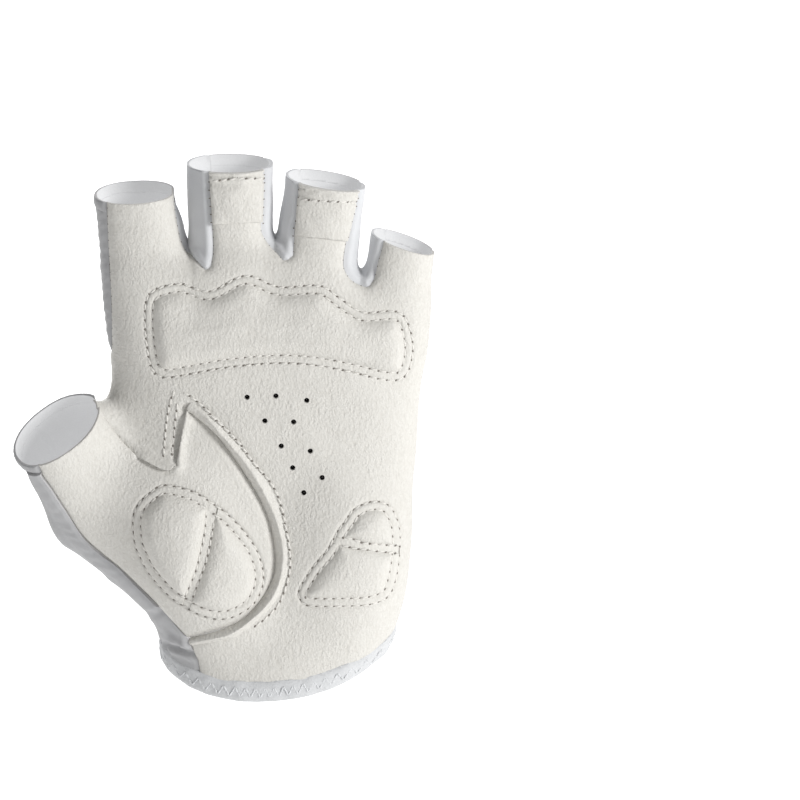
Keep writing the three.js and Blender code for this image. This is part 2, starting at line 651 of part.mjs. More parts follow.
// A pad that swells from its edge to its middle, with a flat underside that follows the palm.
function padSolid(pairs) {
  const turned = THREE.ShapeUtils.isClockWise(toVectors(pairs)) ? pairs.slice().reverse() : pairs;
  const outline = new THREE.CatmullRomCurve3(turned.map(([x, y]) => new THREE.Vector3(x, y, 0)), true);
  const rim = outline.getSpacedPoints(PAD_SIDES).slice(1);
  const middle = rim.reduce((sum, p) => sum.add(p), new THREE.Vector3()).divideScalar(rim.length);
  const rings = [
    { share: 1, lift: 0 },
    { share: 0.96, lift: 0.45 },
    { share: 0.82, lift: 0.82 },
    { share: 0.5, lift: 1 },
  ];
  const positions = [];
  const push = (point, lift) => {
    const skin = onPalm(point.x, point.y);
    skin.addScaledVector(outward(skin).normalize(), SKIN_GAP + lift * PAD_HEIGHT);
    positions.push(skin.x, skin.y, skin.z);
  };
  const under = rings.map((ring) => ({ share: ring.share, lift: 0 })).reverse();
  const loops = [...rings.slice().reverse(), ...under.slice(0, -1).reverse()];
  for (const ring of loops) {
    for (const p of rim) push(middle.clone().lerp(p, ring.share), ring.lift);
  }
  const top = positions.length / 3;
  push(middle, 1);
  push(middle, 0);
  const n = rim.length;
  const indices = [];
  for (let k = 0; k < loops.length - 1; k += 1) {
    for (let i = 0; i < n; i += 1) {
      const a = k * n + i;
      const b = k * n + ((i + 1) % n);
      indices.push(a, a + n, b + n, a, b + n, b);
    }
  }
  const last = (loops.length - 1) * n;
  for (let i = 0; i < n; i += 1) {
    indices.push(top, i, (i + 1) % n);
    indices.push(top + 1, last + ((i + 1) % n), last + i);
  }
  return solidFromArrays(positions, indices);
}
for (const [name, pairs] of Object.entries(PADS)) pieces[name] = padSolid(pairs);

// The whole pieces of a cut, without crumbs under a few cubic millimetres or slivers along the cut.
function withoutCrumbs(solid) {
  const parts = solid.simplify(SLIVER).decompose().filter((part) => part.volume() > CRUMB);
  return parts.reduce((all, part) => all.add(part));
}

function meshOf(name, solid, finish) {
  const { vertProperties, triVerts } = withoutCrumbs(solid).getMesh();
  const geometry = new THREE.BufferGeometry();
  geometry.setAttribute("position", new THREE.BufferAttribute(new Float32Array(vertProperties), 3));
  geometry.setIndex(new THREE.BufferAttribute(new Uint32Array(triVerts), 1));
  geometry.computeVertexNormals();
  const mesh = new THREE.Mesh(geometry, new THREE.MeshStandardMaterial({ ...COLOURS[finish], metalness: 0 }));
  mesh.name = name;
  return mesh;
}

const FINISHES = {
  palm_panel: "leather", thumb_panel: "leather", back_panel: "knit", wrist_band: "elastic", thumb_welt: "leather",
  fourchette_index_middle: "stretch", fourchette_middle_ring: "stretch", fourchette_ring_little: "stretch",
  hem_index: "knit", hem_middle: "knit", hem_ring: "knit", hem_little: "knit", hem_thumb: "knit",
  pull_tab_middle: "leather", pull_tab_ring: "leather", knuckle_pad: "leather", thenar_pad_outer: "leather",
  thenar_pad_inner: "leather", heel_pad_upper: "leather", heel_pad_lower: "leather",
};

const glove = new THREE.Group();
for (const [name, finish] of Object.entries(FINISHES)) glove.add(meshOf(name, pieces[name], finish));

export default glove;
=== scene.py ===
import enum
import logging
import math
from collections.abc import Callable
from dataclasses import dataclass, field

import bpy
import numpy as np
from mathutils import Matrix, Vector
from mathutils.kdtree import KDTree


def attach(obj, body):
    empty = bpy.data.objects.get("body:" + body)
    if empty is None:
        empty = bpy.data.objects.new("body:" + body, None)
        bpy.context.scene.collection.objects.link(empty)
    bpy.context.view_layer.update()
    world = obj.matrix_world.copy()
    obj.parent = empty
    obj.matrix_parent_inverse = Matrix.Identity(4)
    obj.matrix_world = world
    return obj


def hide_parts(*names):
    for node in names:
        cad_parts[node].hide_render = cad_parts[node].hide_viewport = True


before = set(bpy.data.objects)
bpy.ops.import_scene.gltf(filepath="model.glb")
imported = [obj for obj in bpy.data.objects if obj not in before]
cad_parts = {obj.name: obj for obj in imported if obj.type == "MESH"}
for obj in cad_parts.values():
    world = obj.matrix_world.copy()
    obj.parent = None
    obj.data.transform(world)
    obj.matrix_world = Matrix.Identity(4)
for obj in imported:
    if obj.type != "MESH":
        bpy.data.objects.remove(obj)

Array = np.ndarray
Piece = bpy.types.Object
Material = bpy.types.Material
Socket = bpy.types.NodeSocket
Value = Socket | float | tuple
Triple = tuple[float, float, float]
Test = Callable[[Array], Array]

LOG = logging.getLogger("glove")
MM = 0.001
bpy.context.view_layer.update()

# Cells of the skin's net, the lean of the sheet that the palm is drawn on, the heights of band and
# hems, the depth at which leather passes to knit, and the first number of the random draws.
NET_CELL = 0.72
SHEET_LEAN = math.radians(17)
BAND_HEIGHT = 6.2
HEM_HEIGHT = 3.0
MID_DEPTH = 2.0
SEED = 7


class Finish(enum.Enum):
    """The record's material slots."""

    LEATHER = "leather"
    KNIT = "knit"
    STRETCH = "stretch"
    ELASTIC = "elastic"


@dataclass(frozen=True)
class Table:
    """Rows of numbers with named columns, read at any place between the rows."""

    names: tuple[str, ...]
    rows: tuple[tuple[float, ...], ...]

    def column(self, name: str) -> Array:
        """One column as an array."""
        place = self.names.index(name)
        return np.array([row[place] for row in self.rows], float)

    def at(self, places: Array, name: str) -> Array:
        """Values of a column between the rows.

        Args:
            places: where to read, along the table's first column.
            name: the column to read.

        Returns:
            The eased values, held at the ends.
        """
        easing = 0.4
        keys, values = self.column(self.names[0]), self.column(name)
        high = np.clip(np.searchsorted(keys, places, side="right"), 1, len(keys) - 1)
        low = high - 1
        share = np.clip((places - keys[low]) / (keys[high] - keys[low]), 0, 1)
        ease = share * share * (3 - 2 * share) * easing + share * (1 - easing)
        return values[low] + (values[high] - values[low]) * ease


@dataclass(frozen=True)
class Finger:
    """One finger: its level sections, and the middle and lean of its open end."""

    name: str
    sections: Table
    rim: Triple
    side: float
    to_palm: float

    def normal(self) -> Array:
        """The direction that the open end looks in."""
        side, forward = math.radians(self.side), math.radians(self.to_palm)
        return unit(np.array([math.sin(side), -math.sin(forward), math.cos(side)]))

    def past(self, points: Array) -> Array:
        """How far points are past the open end."""
        return (points - np.array(self.rim)) @ self.normal()


def unit(vectors: Array) -> Array:
    """Vectors brought to length one."""
    return vectors / np.maximum(np.linalg.norm(vectors, axis=-1, keepdims=True), 1e-9)


def soft_min(a: Array, b: Array, blend: float) -> Array:
    """The lesser of two fields, rounded where they meet."""
    share = np.maximum(blend - np.abs(a - b), 0) / blend
    return np.minimum(a, b) - share * share * blend / 4


def soft_max(a: Array, b: Array, blend: float) -> Array:
    """The greater of two fields, rounded where they meet."""
    return -soft_min(-a, -b, blend)


def bell(distance: Array, width: float) -> Array:
    """One at no distance, falling to nothing over a few widths."""
    return np.exp(-np.square(distance / width))


def ramp(values: Array, low: float, high: float) -> Array:
    """A smooth step from 0 at low to 1 at high."""
    share = np.clip((values - low) / (high - low), 0, 1)
    return share * share * (3 - 2 * share)


FINGER_COLUMNS = ("z", "x", "width", "depth")
FINGERS = (
    Finger("index", Table(FINGER_COLUMNS, (
        (88, -33, 12.6, 9.6), (118, -36.3, 13.1, 9.6), (128, -38.3, 12.4, 9.5),
        (139, -39.9, 11.6, 9.3), (152, -41.4, 11.4, 9.2),
    )), (-39.9, 0, 139), -3, 5.4),
    Finger("middle", Table(FINGER_COLUMNS, (
        (90, -11.5, 12.2, 9.6), (125, -12.3, 12, 9.6), (147, -12.6, 12.2, 9.5), (160, -12.8, 12.2, 9.4),
    )), (-12.8, 0, 147.7), 0, 1),
    Finger("ring", Table(FINGER_COLUMNS, (
        (88, 10.4, 12, 9.3), (115, 12, 11.9, 9.3), (127, 13.1, 11.8, 9.2), (143, 15, 11.4, 9),
        (155, 16.8, 11.3, 8.9),
    )), (15, 0, 142.7), 9.3, 1),
    Finger("little", Table(FINGER_COLUMNS, (
        (84, 32.5, 10.6, 8.2), (105, 34.4, 10.2, 8), (124, 37.2, 9.3, 7.7), (136, 39, 9.1, 7.5),
    )), (37.2, 0, 124.3), 19.5, 1),
)
# Where the skin passes from one finger to the next, across.
FINGER_BOUNDS = (-26.6, 0.9, 27.2)


@dataclass
class Hand:
    """The form that fills the glove, as a field that is 0 on the skin and below 0 inside."""

    trunk: Table = Table(("z", "x", "width", "front", "back", "square"), (
        (-26, 0, 32.2, 19.5, 18.5, 2.2), (0, 0, 32.7, 19.5, 18.5, 2.2), (20, 0.4, 35.8, 18.5, 17.5, 2.3),
        (40, 0, 39.4, 16.5, 16, 2.4), (70, -2.2, 43.8, 14.5, 14.5, 2.5), (95, -2, 45.2, 13.2, 13.8, 2.6),
        (112, -2.2, 46.2, 11, 12, 2.6), (130, -2.2, 46.2, 9, 10, 2.6),
    ))
    webs: Table = Table(("x", "z"), ((-60, 118), (-26, 120.5), (0.5, 124), (26, 114), (60, 106)))
    thumb: Table = Table(("z", "deep", "width", "depth"), (
        (-66, -9, 8, 5), (-50, -5, 14.4, 10), (-34, -1.5, 16.6, 12.6), (-20, 0, 15.6, 12.6), (0, 0, 14, 12),
        (16, 0, 13.6, 11.6),
    ))
    thumb_rim: Array = field(default_factory=lambda: np.array([-62.9, -12, 71.0]))
    thumb_along: Array = field(default_factory=lambda: unit(np.array([-0.455, -0.406, 0.793])))
    thumb_hint: Array = field(default_factory=lambda: np.array([0.791, 0.218, 0.565]))
    muscles: Table = Table(("x", "y", "z", "width", "depth", "height", "lean"), (
        (-24, -8, 35, 20, 14.5, 33, 22), (20, -6, 30, 17, 13, 28, 0),
    ))
    overrun: float = 7
    root_blend: float = 12
    foot: float = -22
    finger_square: float = 2.15
    muscle_blend: float = 9
    finger_blend: float = 5
    thumb_blend: float = 12
    web_blend: float = 6

    def __post_init__(self) -> None:
        """Sets the thumb's own directions."""
        self.thumb_deep = unit(np.cross(self.thumb_along, self.thumb_hint))
        self.thumb_across = unit(np.cross(self.thumb_deep, self.thumb_along))

    @staticmethod
    def from_oval(dx: Array, dy: Array, a: Array, b: Array, square: Array | float) -> Array:
        """Distance, nearly, from an oval.

        Args:
            dx: places across the oval.
            dy: places along its depth.
            a: half its width.
            b: half its depth.
            square: how square it is, 2 for an ellipse.

        Returns:
            Distances, below 0 inside.
        """
        across, deep = np.maximum(np.abs(dx) / a, 1e-6), np.maximum(np.abs(dy) / b, 1e-6)
        size = np.power(np.power(across, square) + np.power(deep, square), 1 / square)
        slope = np.power(size, 1 - square)
        gx = slope * np.power(across, square - 1) / a
        gy = slope * np.power(deep, square - 1) / b
        return (size - 1) / np.hypot(gx, gy)

    def from_trunk(self, p: Array) -> Array:
        """Distance, nearly, from the palm and wrist.

        Args:
            p: points.

        Returns:
            Distances, below 0 inside.
        """
        x, y, z = p.T
        read = lambda name: self.trunk.at(z, name)
        depth = np.where(y < 0, read("front"), read("back"))
        tube = self.from_oval(x - read("x"), y, read("width"), depth, read("square"))
        return np.maximum(soft_max(tube, z - self.webs.at(x, "z"), self.web_blend), self.foot - z)

    def from_finger(self, p: Array, finger: Finger) -> Array:
        """Distance, nearly, from one finger.

        Args:
            p: points.
            finger: the finger.

        Returns:
            Distances, below 0 inside.
        """
        x, y, z = p.T
        read = lambda name: finger.sections.at(z, name)
        tube = self.from_oval(x - read("x"), y, read("width"), read("depth"), self.finger_square)
        end = np.maximum(tube, finger.past(p) - self.overrun)
        return soft_max(end, finger.sections.rows[0][0] - z, self.root_blend)

    def from_thumb(self, p: Array) -> Array:
        """Distance, nearly, from the thumb.

        Args:
            p: points.

        Returns:
            Distances, below 0 inside.
        """
        arm = p - self.thumb_rim
        z = arm @ self.thumb_along
        read = lambda name: self.thumb.at(z, name)
        tube = self.from_oval(
            arm @ self.thumb_across, arm @ self.thumb_deep - read("deep"), read("width"), read("depth"),
            self.finger_square,
        )
        return soft_max(np.maximum(tube, z - self.overrun), self.thumb.rows[0][0] - z, self.thumb_blend)

    def from_muscle(self, p: Array, row: tuple[float, ...]) -> Array:
        """Distance, nearly, from a round muscle of the palm.

        Args:
            p: points.
            row: the muscle's row of the table.

        Returns:
            Distances, below 0 inside.
        """
        x, y, z, width, depth, height, lean = row
        lean = math.radians(lean)
        dx, dz = p[:, 0] - x, p[:, 2] - z
        across = (dx * math.cos(lean) + dz * math.sin(lean)) / width
        up = (dz * math.cos(lean) - dx * math.sin(lean)) / height
        deep = (p[:, 1] - y) / depth
        size = np.maximum(np.sqrt(across**2 + up**2 + deep**2), 1e-6)
        slope = np.sqrt((across / width) ** 2 + (up / height) ** 2 + (deep / depth) ** 2) / size
        return (size - 1) / slope

    def value(self, p: Array) -> Array:
        """The field at points.

        Args:
            p: points.

        Returns:
            Distances, below 0 inside.
        """
        value = self.from_trunk(p)
        for row in self.muscles.rows:
            value = soft_min(value, self.from_muscle(p, row), self.muscle_blend)
        fingers = np.min([self.from_finger(p, finger) for finger in FINGERS], axis=0)
        value = soft_min(value, fingers, self.finger_blend)
        return soft_min(value, self.from_thumb(p), self.thumb_blend)

    def by_thumb(self, points: Array) -> tuple[Array, Array]:
        """How far points are along the thumb, past its open end, and how far from its middle line."""
        arm = points - self.thumb_rim
        along = arm @ self.thumb_along
        return along, np.linalg.norm(arm - np.outer(along, self.thumb_along), axis=1)

    def slope(self, p: Array) -> Array:
        """The field's gradient at points.

        Args:
            p: points.

        Returns:
            A vector for each point.
        """
        step = 0.25
        columns = []
        for axis in np.eye(3) * step:
            columns.append((self.value(p + axis) - self.value(p - axis)) / (2 * step))
        return np.stack(columns, axis=1)

    def settle(self, p: Array, turns: int) -> Array:
        """Points brought onto the skin.

        Args:
            p: points near the skin.
            turns: how many steps to take.

        Returns:
            The moved points.
        """
        for _ in range(turns):
            slope = self.slope(p)
            strength = np.maximum(np.sum(slope * slope, axis=1), 0.05)
            move = -slope * (self.value(p) / strength)[:, None]
            length = np.linalg.norm(move, axis=1, keepdims=True)
            p = p + move * np.minimum(1, 1.5 / np.maximum(length, 1e-9))
        return p

    def reach(self, start: Array, along: Array, far: float) -> Array:
        """Where straight lines from outside first meet the skin.

        Args:
            start: a point on each line.
            along: each line's direction, from the outside inwards.
            far: how far before and past the start to look.

        Returns:
            A point on the skin for each line.
        """
        step = 1.0
        place = np.full(len(start), -far)
        going = np.ones(len(start), bool)
        for _ in range(int(2 * far / step)):
            going &= self.value(start + along * place[:, None]) > 0
            place = np.where(going, place + step, place)
        low, high = place - step, place
        for _ in range(12):
            middle = (low + high) / 2
            outside = self.value(start + along * middle[:, None]) > 0
            low, high = np.where(outside, middle, low), np.where(outside, high, middle)
        return start + along * high[:, None]


HAND = Hand()
SHEET_UP = np.array([0, math.sin(SHEET_LEAN), math.cos(SHEET_LEAN)])
SHEET_OUT = np.array([0, -math.cos(SHEET_LEAN), math.sin(SHEET_LEAN)])


def on_sheet(points: Array) -> Array:
    """Places of points on the leaning sheet, across and up."""
    return np.stack([points[:, 0], points @ SHEET_UP], axis=1)


def on_palm(places: Array) -> Array:
    """Points of the palm's skin at places on the leaning sheet."""
    start = np.outer(places[:, 0], [1, 0, 0]) + np.outer(places[:, 1], SHEET_UP)
    return HAND.reach(start, np.tile(-SHEET_OUT, (len(places), 1)), 62)


def wrist_edge(x: Array, y: Array) -> Array:
    """Height of the glove's lower edge, by place on the wrist."""
    dip = np.where(y < 0, 9.5, 3.5)
    return 0.5 + 0.08 * x - dip * np.power(np.minimum(np.abs(y) / 19.5, 1.3), 1.8)


@dataclass(frozen=True)
class Line:
    """A drawn line on a flat sheet, through points that it passes smoothly."""

    pairs: tuple[tuple[float, float], ...]
    closed: bool = False
    spans: int = 5

    def points(self) -> Array:
        """The line as close points.

        Returns:
            The points, one to a row.
        """
        knots = np.array(self.pairs, float)
        if self.closed:
            knots = np.concatenate([knots[-1:], knots, knots[:2]])
        else:
            before, after = 2 * knots[0] - knots[1], 2 * knots[-1] - knots[-2]
            knots = np.concatenate([[before], knots, [after]])
        made = []
        shares = np.linspace(0, 1, self.spans, endpoint=False)[:, None]
        for a, b, c, d in zip(knots, knots[1:], knots[2:], knots[3:]):
            turn = 2 * b + (c - a) * shares + (2 * a - 5 * b + 4 * c - d) * shares**2
            made.append((turn + (3 * b - a - 3 * c + d) * shares**3) / 2)
        if not self.closed:
            made.append(knots[-2:-1])
        return np.concatenate(made)


def spaced(points: Array, pitch: float, closed: bool) -> tuple[Array, Array]:
    """Even steps along a line.

    Args:
        points: the line.
        pitch: the wanted step.
        closed: whether the line returns to its start.

    Returns:
        The places of the steps and the line's direction at each.
    """
    if closed:
        points = np.concatenate([points, points[:1]])
    runs = np.linalg.norm(np.diff(points, axis=0), axis=1)
    along = np.concatenate([[0], np.cumsum(runs)])
    count = max(int(round(along[-1] / pitch)), 2)
    marks = (np.arange(count) + 0.5) * along[-1] / count
    small = pitch * 0.2
    read = lambda s: np.stack([np.interp(s, along, points[:, k]) for k in range(points.shape[1])], axis=1)
    return read(marks), unit(read(marks + small) - read(marks - small))


def faded(count: int, over: float) -> Array:
    """A share that rises from 0 to 1 over the first steps of a run and falls over its last."""
    steps = np.arange(count)
    return np.minimum(ramp(steps, 0, over), ramp(count - 1.0 - steps, 0, over))


def net_faces(rows: int, columns: int, closed: bool = False) -> Array:
    """Four-sided faces between rows of points.

    Args:
        rows: how many rows there are.
        columns: how many points each row has.
        closed: whether each row's last point meets its first.

    Returns:
        Four point numbers for each face.
    """
    low, place = np.meshgrid(np.arange(rows - 1) * columns, np.arange(columns - 1 + closed), indexing="ij")
    a, b = (low + place).reshape(-1), (low + (place + 1) % columns).reshape(-1)
    return np.stack([a, b, b + columns, a + columns], axis=1)


def distances(places: Array, line: Array, closed: bool = False) -> Array:
    """Distances of places from a line on the sheet.

    Args:
        places: where to measure from.
        line: the line's points.
        closed: whether the line is an outline, so that the inside counts as below 0.

    Returns:
        The distances.
    """
    starts = line if closed else line[:-1]
    ends = np.roll(line, -1, axis=0) if closed else line[1:]
    runs = ends - starts
    lengths = np.maximum(np.sum(runs * runs, axis=1), 1e-12)
    found = np.empty(len(places))
    block = 8000
    for low in range(0, len(places), block):
        part = places[low:low + block]
        gap_x = part[:, 0:1] - starts[:, 0]
        gap_y = part[:, 1:2] - starts[:, 1]
        share = np.clip((gap_x * runs[:, 0] + gap_y * runs[:, 1]) / lengths, 0, 1)
        near = (gap_x - share * runs[:, 0]) ** 2 + (gap_y - share * runs[:, 1]) ** 2
        result = np.sqrt(near.min(axis=1))
        if closed:
            over = (gap_y >= 0) != (part[:, 1:2] - ends[:, 1] >= 0)
            rise = np.where(np.abs(runs[:, 1]) < 1e-12, 1e-12, runs[:, 1])
            left = gap_x < gap_y * runs[:, 0] / rise
            result = np.where((over & left).sum(axis=1) % 2 == 1, -result, result)
        found[low:low + block] = result
    return found


def chain(*parts) -> Array:
    """One outline from lines and points in order.

    Args:
        parts: lines, points and rows of points.

    Returns:
        The outline's points.
    """
    made = []
    for part in parts:
        made.append(part.points() if isinstance(part, Line) else np.array(part, float).reshape(-1, 2))
    return np.concatenate(made)


def turned(line: Line) -> Line:
    """The same line run the other way."""
    return Line(tuple(reversed(line.pairs)), line.closed)


class Seams:
    """The seams and stitch rows of the palm, on the leaning sheet, across and up."""

    index_outer = Line(((-48.1, 150), (-48.1, 129.3), (-47.9, 121.2), (-47.1, 101.8), (-47.2, 88)))
    web = Line(((-52, 80), (-50.5, 69), (-45.2, 60.2), (-40.4, 56.6)))
    crotch = Line(((-39.2, 56.6), (-31.3, 52.8), (-28.1, 54.2)))
    arc = Line((
        (-25.1, 70.2), (-21.5, 67.4), (-16, 62.4), (-10.4, 55.1), (-5.8, 48.1), (-3, 42.9), (-0.7, 36.8),
        (0.6, 29.6), (0.6, 24.1), (-0.7, 19.4), (-3.8, 14.2), (-8.7, 9.3), (-14.8, 6.1), (-24.9, 3.3),
    ))
    wrist = Line(((-23.2, -0.6), (-21.8, -7), (-21, -40)))
    index_inner = Line(((-19.7, 110.6), (-25.2, 117), (-27.1, 123.5), (-28.2, 132.8), (-28.2, 150)))
    middle_outer = Line(((-18.6, 160), (-18.6, 139.3), (-17.4, 118.2), (-18, 111.7)))
    middle_inner = Line(((2.9, 113.4), (-2.3, 119.8), (-3.2, 124.1), (-2.6, 138.3), (-2.6, 160)))
    ring_outer = Line(((7.5, 155), (7.5, 134.4), (7.1, 126.3), (6, 123), (5.6, 114.8)))
    ring_inner = Line((
        (26.4, 105.9), (22.6, 107.9), (20.4, 111.9), (21.3, 118.6), (21.9, 122.7), (24.6, 132.8),
        (28, 155),
    ))
    little_outer = Line(((35, 140), (31.6, 118.9), (30, 113.1), (29, 108.2)))
    web_bottoms = ((-18.9, 110.8), (4.1, 113.5), (27.4, 105.9))
    thumb_side = Line((
        (-36, 15.5), (-44.4, 23.8), (-49.6, 27.8), (-54.4, 32.2), (-58.1, 37.4), (-60.7, 41.5),
        (-64.2, 47.3), (-66.8, 51), (-67.9, 54.2), (-76, 68),
    ))
    thumb_top = Line(((-66, 84), (-52.5, 73.9), (-48.3, 68.1), (-44, 61.9), (-40, 57.4)))
    welt_outer = Line((
        (-24.6, 71.4), (-20.5, 69.6), (-14.8, 63.4), (-8.1, 55.4), (-3.8, 48.6), (0.7, 39.2), (2.8, 31.6),
        (2.8, 25.5), (1.2, 19.4), (-2.7, 13.5), (-11.3, 6.5), (-18.7, 4.1), (-24.4, 2.6),
    ))
    flap = Line(((-28.1, 54.2), (-27.2, 62), (-25.1, 70.2)))

    def palm(self) -> Array:
        """Outline of the palm's leather."""
        return chain(
            self.index_outer, self.web, self.crotch, self.arc, self.wrist, ((62, -40), (62, 130)),
            self.little_outer, self.web_bottoms[2], self.ring_inner, self.ring_outer, self.web_bottoms[1],
            self.middle_inner, self.middle_outer, self.web_bottoms[0], self.index_inner,
        )

    def thumb(self) -> Array:
        """Outline of the thumb's leather."""
        return chain(self.thumb_top, self.crotch, self.arc, self.thumb_side)

    def crotches(self) -> dict[str, Array]:
        """Outlines of the three side panels between the fingers."""
        bottoms = self.web_bottoms
        return {
            "fourchette_index_middle": chain(turned(self.index_inner), bottoms[0], turned(self.middle_outer)),
            "fourchette_middle_ring": chain(turned(self.middle_inner), bottoms[1], turned(self.ring_outer)),
            "fourchette_ring_little": chain(turned(self.ring_inner), bottoms[2], turned(self.little_outer)),
        }


SEAMS = Seams()


def matched(pairs: Array) -> tuple[Array, Array]:
    """Finds the different edges among pairs of points.

    Args:
        pairs: two point numbers for each.

    Returns:
        The edges, and the number of each pair's edge.
    """
    ordered = np.sort(pairs, axis=1).astype(np.int64)
    reach = int(ordered.max()) + 1 if len(ordered) else 1
    keys, where = np.unique(ordered[:, 0] * reach + ordered[:, 1], return_inverse=True)
    return np.stack([keys // reach, keys % reach], axis=1), where.reshape(-1)


@dataclass
class Patch:
    """A part of the skin as loose arrays: points, outward directions and triangles."""

    points: Array
    normals: Array
    faces: Array
    edge: Array

    def clip(self, values: Array, seam: bool = False) -> "Patch":
        """The part where values are at or below 0, with a clean edge.

        Args:
            values: one number for each point.
            seam: whether the cut is a seam, whose distance is kept.

        Returns:
            The smaller patch.
        """
        inside = values <= 0
        count = inside[self.faces].sum(axis=1)
        whole = self.faces[count == 3]
        cut = self.faces[(count == 1) | (count == 2)]
        cut_in = inside[cut]
        single = cut_in.sum(axis=1) == 1
        odd = np.where(single, cut_in.argmax(axis=1), (~cut_in).argmax(axis=1))
        corners = np.take_along_axis(cut, (odd[:, None] + np.arange(3)) % 3, axis=1)
        edges, where = matched(np.concatenate([corners[:, [0, 1]], corners[:, [0, 2]]]))
        low, high = values[edges[:, 0]], values[edges[:, 1]]
        share = (low / (low - high))[:, None]
        start = len(self.points)
        blend = lambda rows: rows[edges[:, 0]] * (1 - share) + rows[edges[:, 1]] * share
        points = np.concatenate([self.points, blend(self.points)])
        normals = np.concatenate([self.normals, unit(blend(self.normals))])
        edge = np.concatenate([self.edge, blend(self.edge[:, None])[:, 0]])
        if seam:
            edge = np.minimum(edge, np.concatenate([-values, np.zeros(len(edges))]))
        one, two = start + where[:len(corners)], start + where[len(corners):]
        b, c = corners[:, 1], corners[:, 2]
        faces = np.concatenate([
            whole,
            np.stack([corners[:, 0], one, two], axis=1)[single],
            np.stack([one, b, c], axis=1)[~single],
            np.stack([one, c, two], axis=1)[~single],
        ])
        used, faces = np.unique(faces, return_inverse=True)
        return Patch(points[used], normals[used], faces.reshape(-1, 3), edge[used])

    def near(self, keep: Array) -> "Patch":
        """The faces that have any point where keep is true."""
        faces = self.faces[keep[self.faces].any(axis=1)]
        used, faces = np.unique(faces, return_inverse=True)
        return Patch(self.points[used], self.normals[used], faces.reshape(-1, 3), self.edge[used])

    def rim(self) -> Array:
        """The open edges, as pairs in the order of their faces."""
        pairs = np.concatenate([self.faces[:, [0, 1]], self.faces[:, [1, 2]], self.faces[:, [2, 0]]])
        _, where = matched(pairs)
        return pairs[np.bincount(where)[where] == 1]

    def refine(self, wanted: Array) -> "Patch":
        """A finer net where it is wanted, still without gaps.

        Args:
            wanted: true for the points whose triangles are split in four.

        Returns:
            The finer patch.
        """
        split = wanted[self.faces].any(axis=1)
        sides = np.stack([self.faces[:, [1, 2]], self.faces[:, [2, 0]], self.faces[:, [0, 1]]], axis=1)
        edges, where = matched(sides.reshape(-1, 2))
        where = where.reshape(-1, 3)
        marked = np.zeros(len(edges), bool)
        marked[where[split]] = True
        number = np.cumsum(marked) - 1 + len(self.points)
        pairs = edges[marked]
        half = lambda rows: np.concatenate([rows, (rows[pairs[:, 0]] + rows[pairs[:, 1]]) / 2])
        marks = marked[where]
        count = marks.sum(axis=1)
        odd = np.where(count == 2, (~marks).argmax(axis=1), marks.argmax(axis=1))
        order = (odd[:, None] + np.arange(3)) % 3
        a, b, c = np.take_along_axis(self.faces, order, axis=1).T
        ma, mb, mc = np.take_along_axis(number[where], order, axis=1).T
        rows = lambda keep, *corners: np.stack(corners, axis=1)[keep]
        faces = np.concatenate([
            self.faces[count == 0],
            rows(count == 1, a, b, ma), rows(count == 1, a, ma, c),
            rows(count == 2, a, mc, mb), rows(count == 2, mc, b, c), rows(count == 2, mc, c, mb),
            rows(count == 3, a, mc, mb), rows(count == 3, mc, b, ma), rows(count == 3, mb, ma, c),
            rows(count == 3, ma, mb, mc),
        ])
        return Patch(half(self.points), unit(half(self.normals)), faces, half(self.edge[:, None])[:, 0])


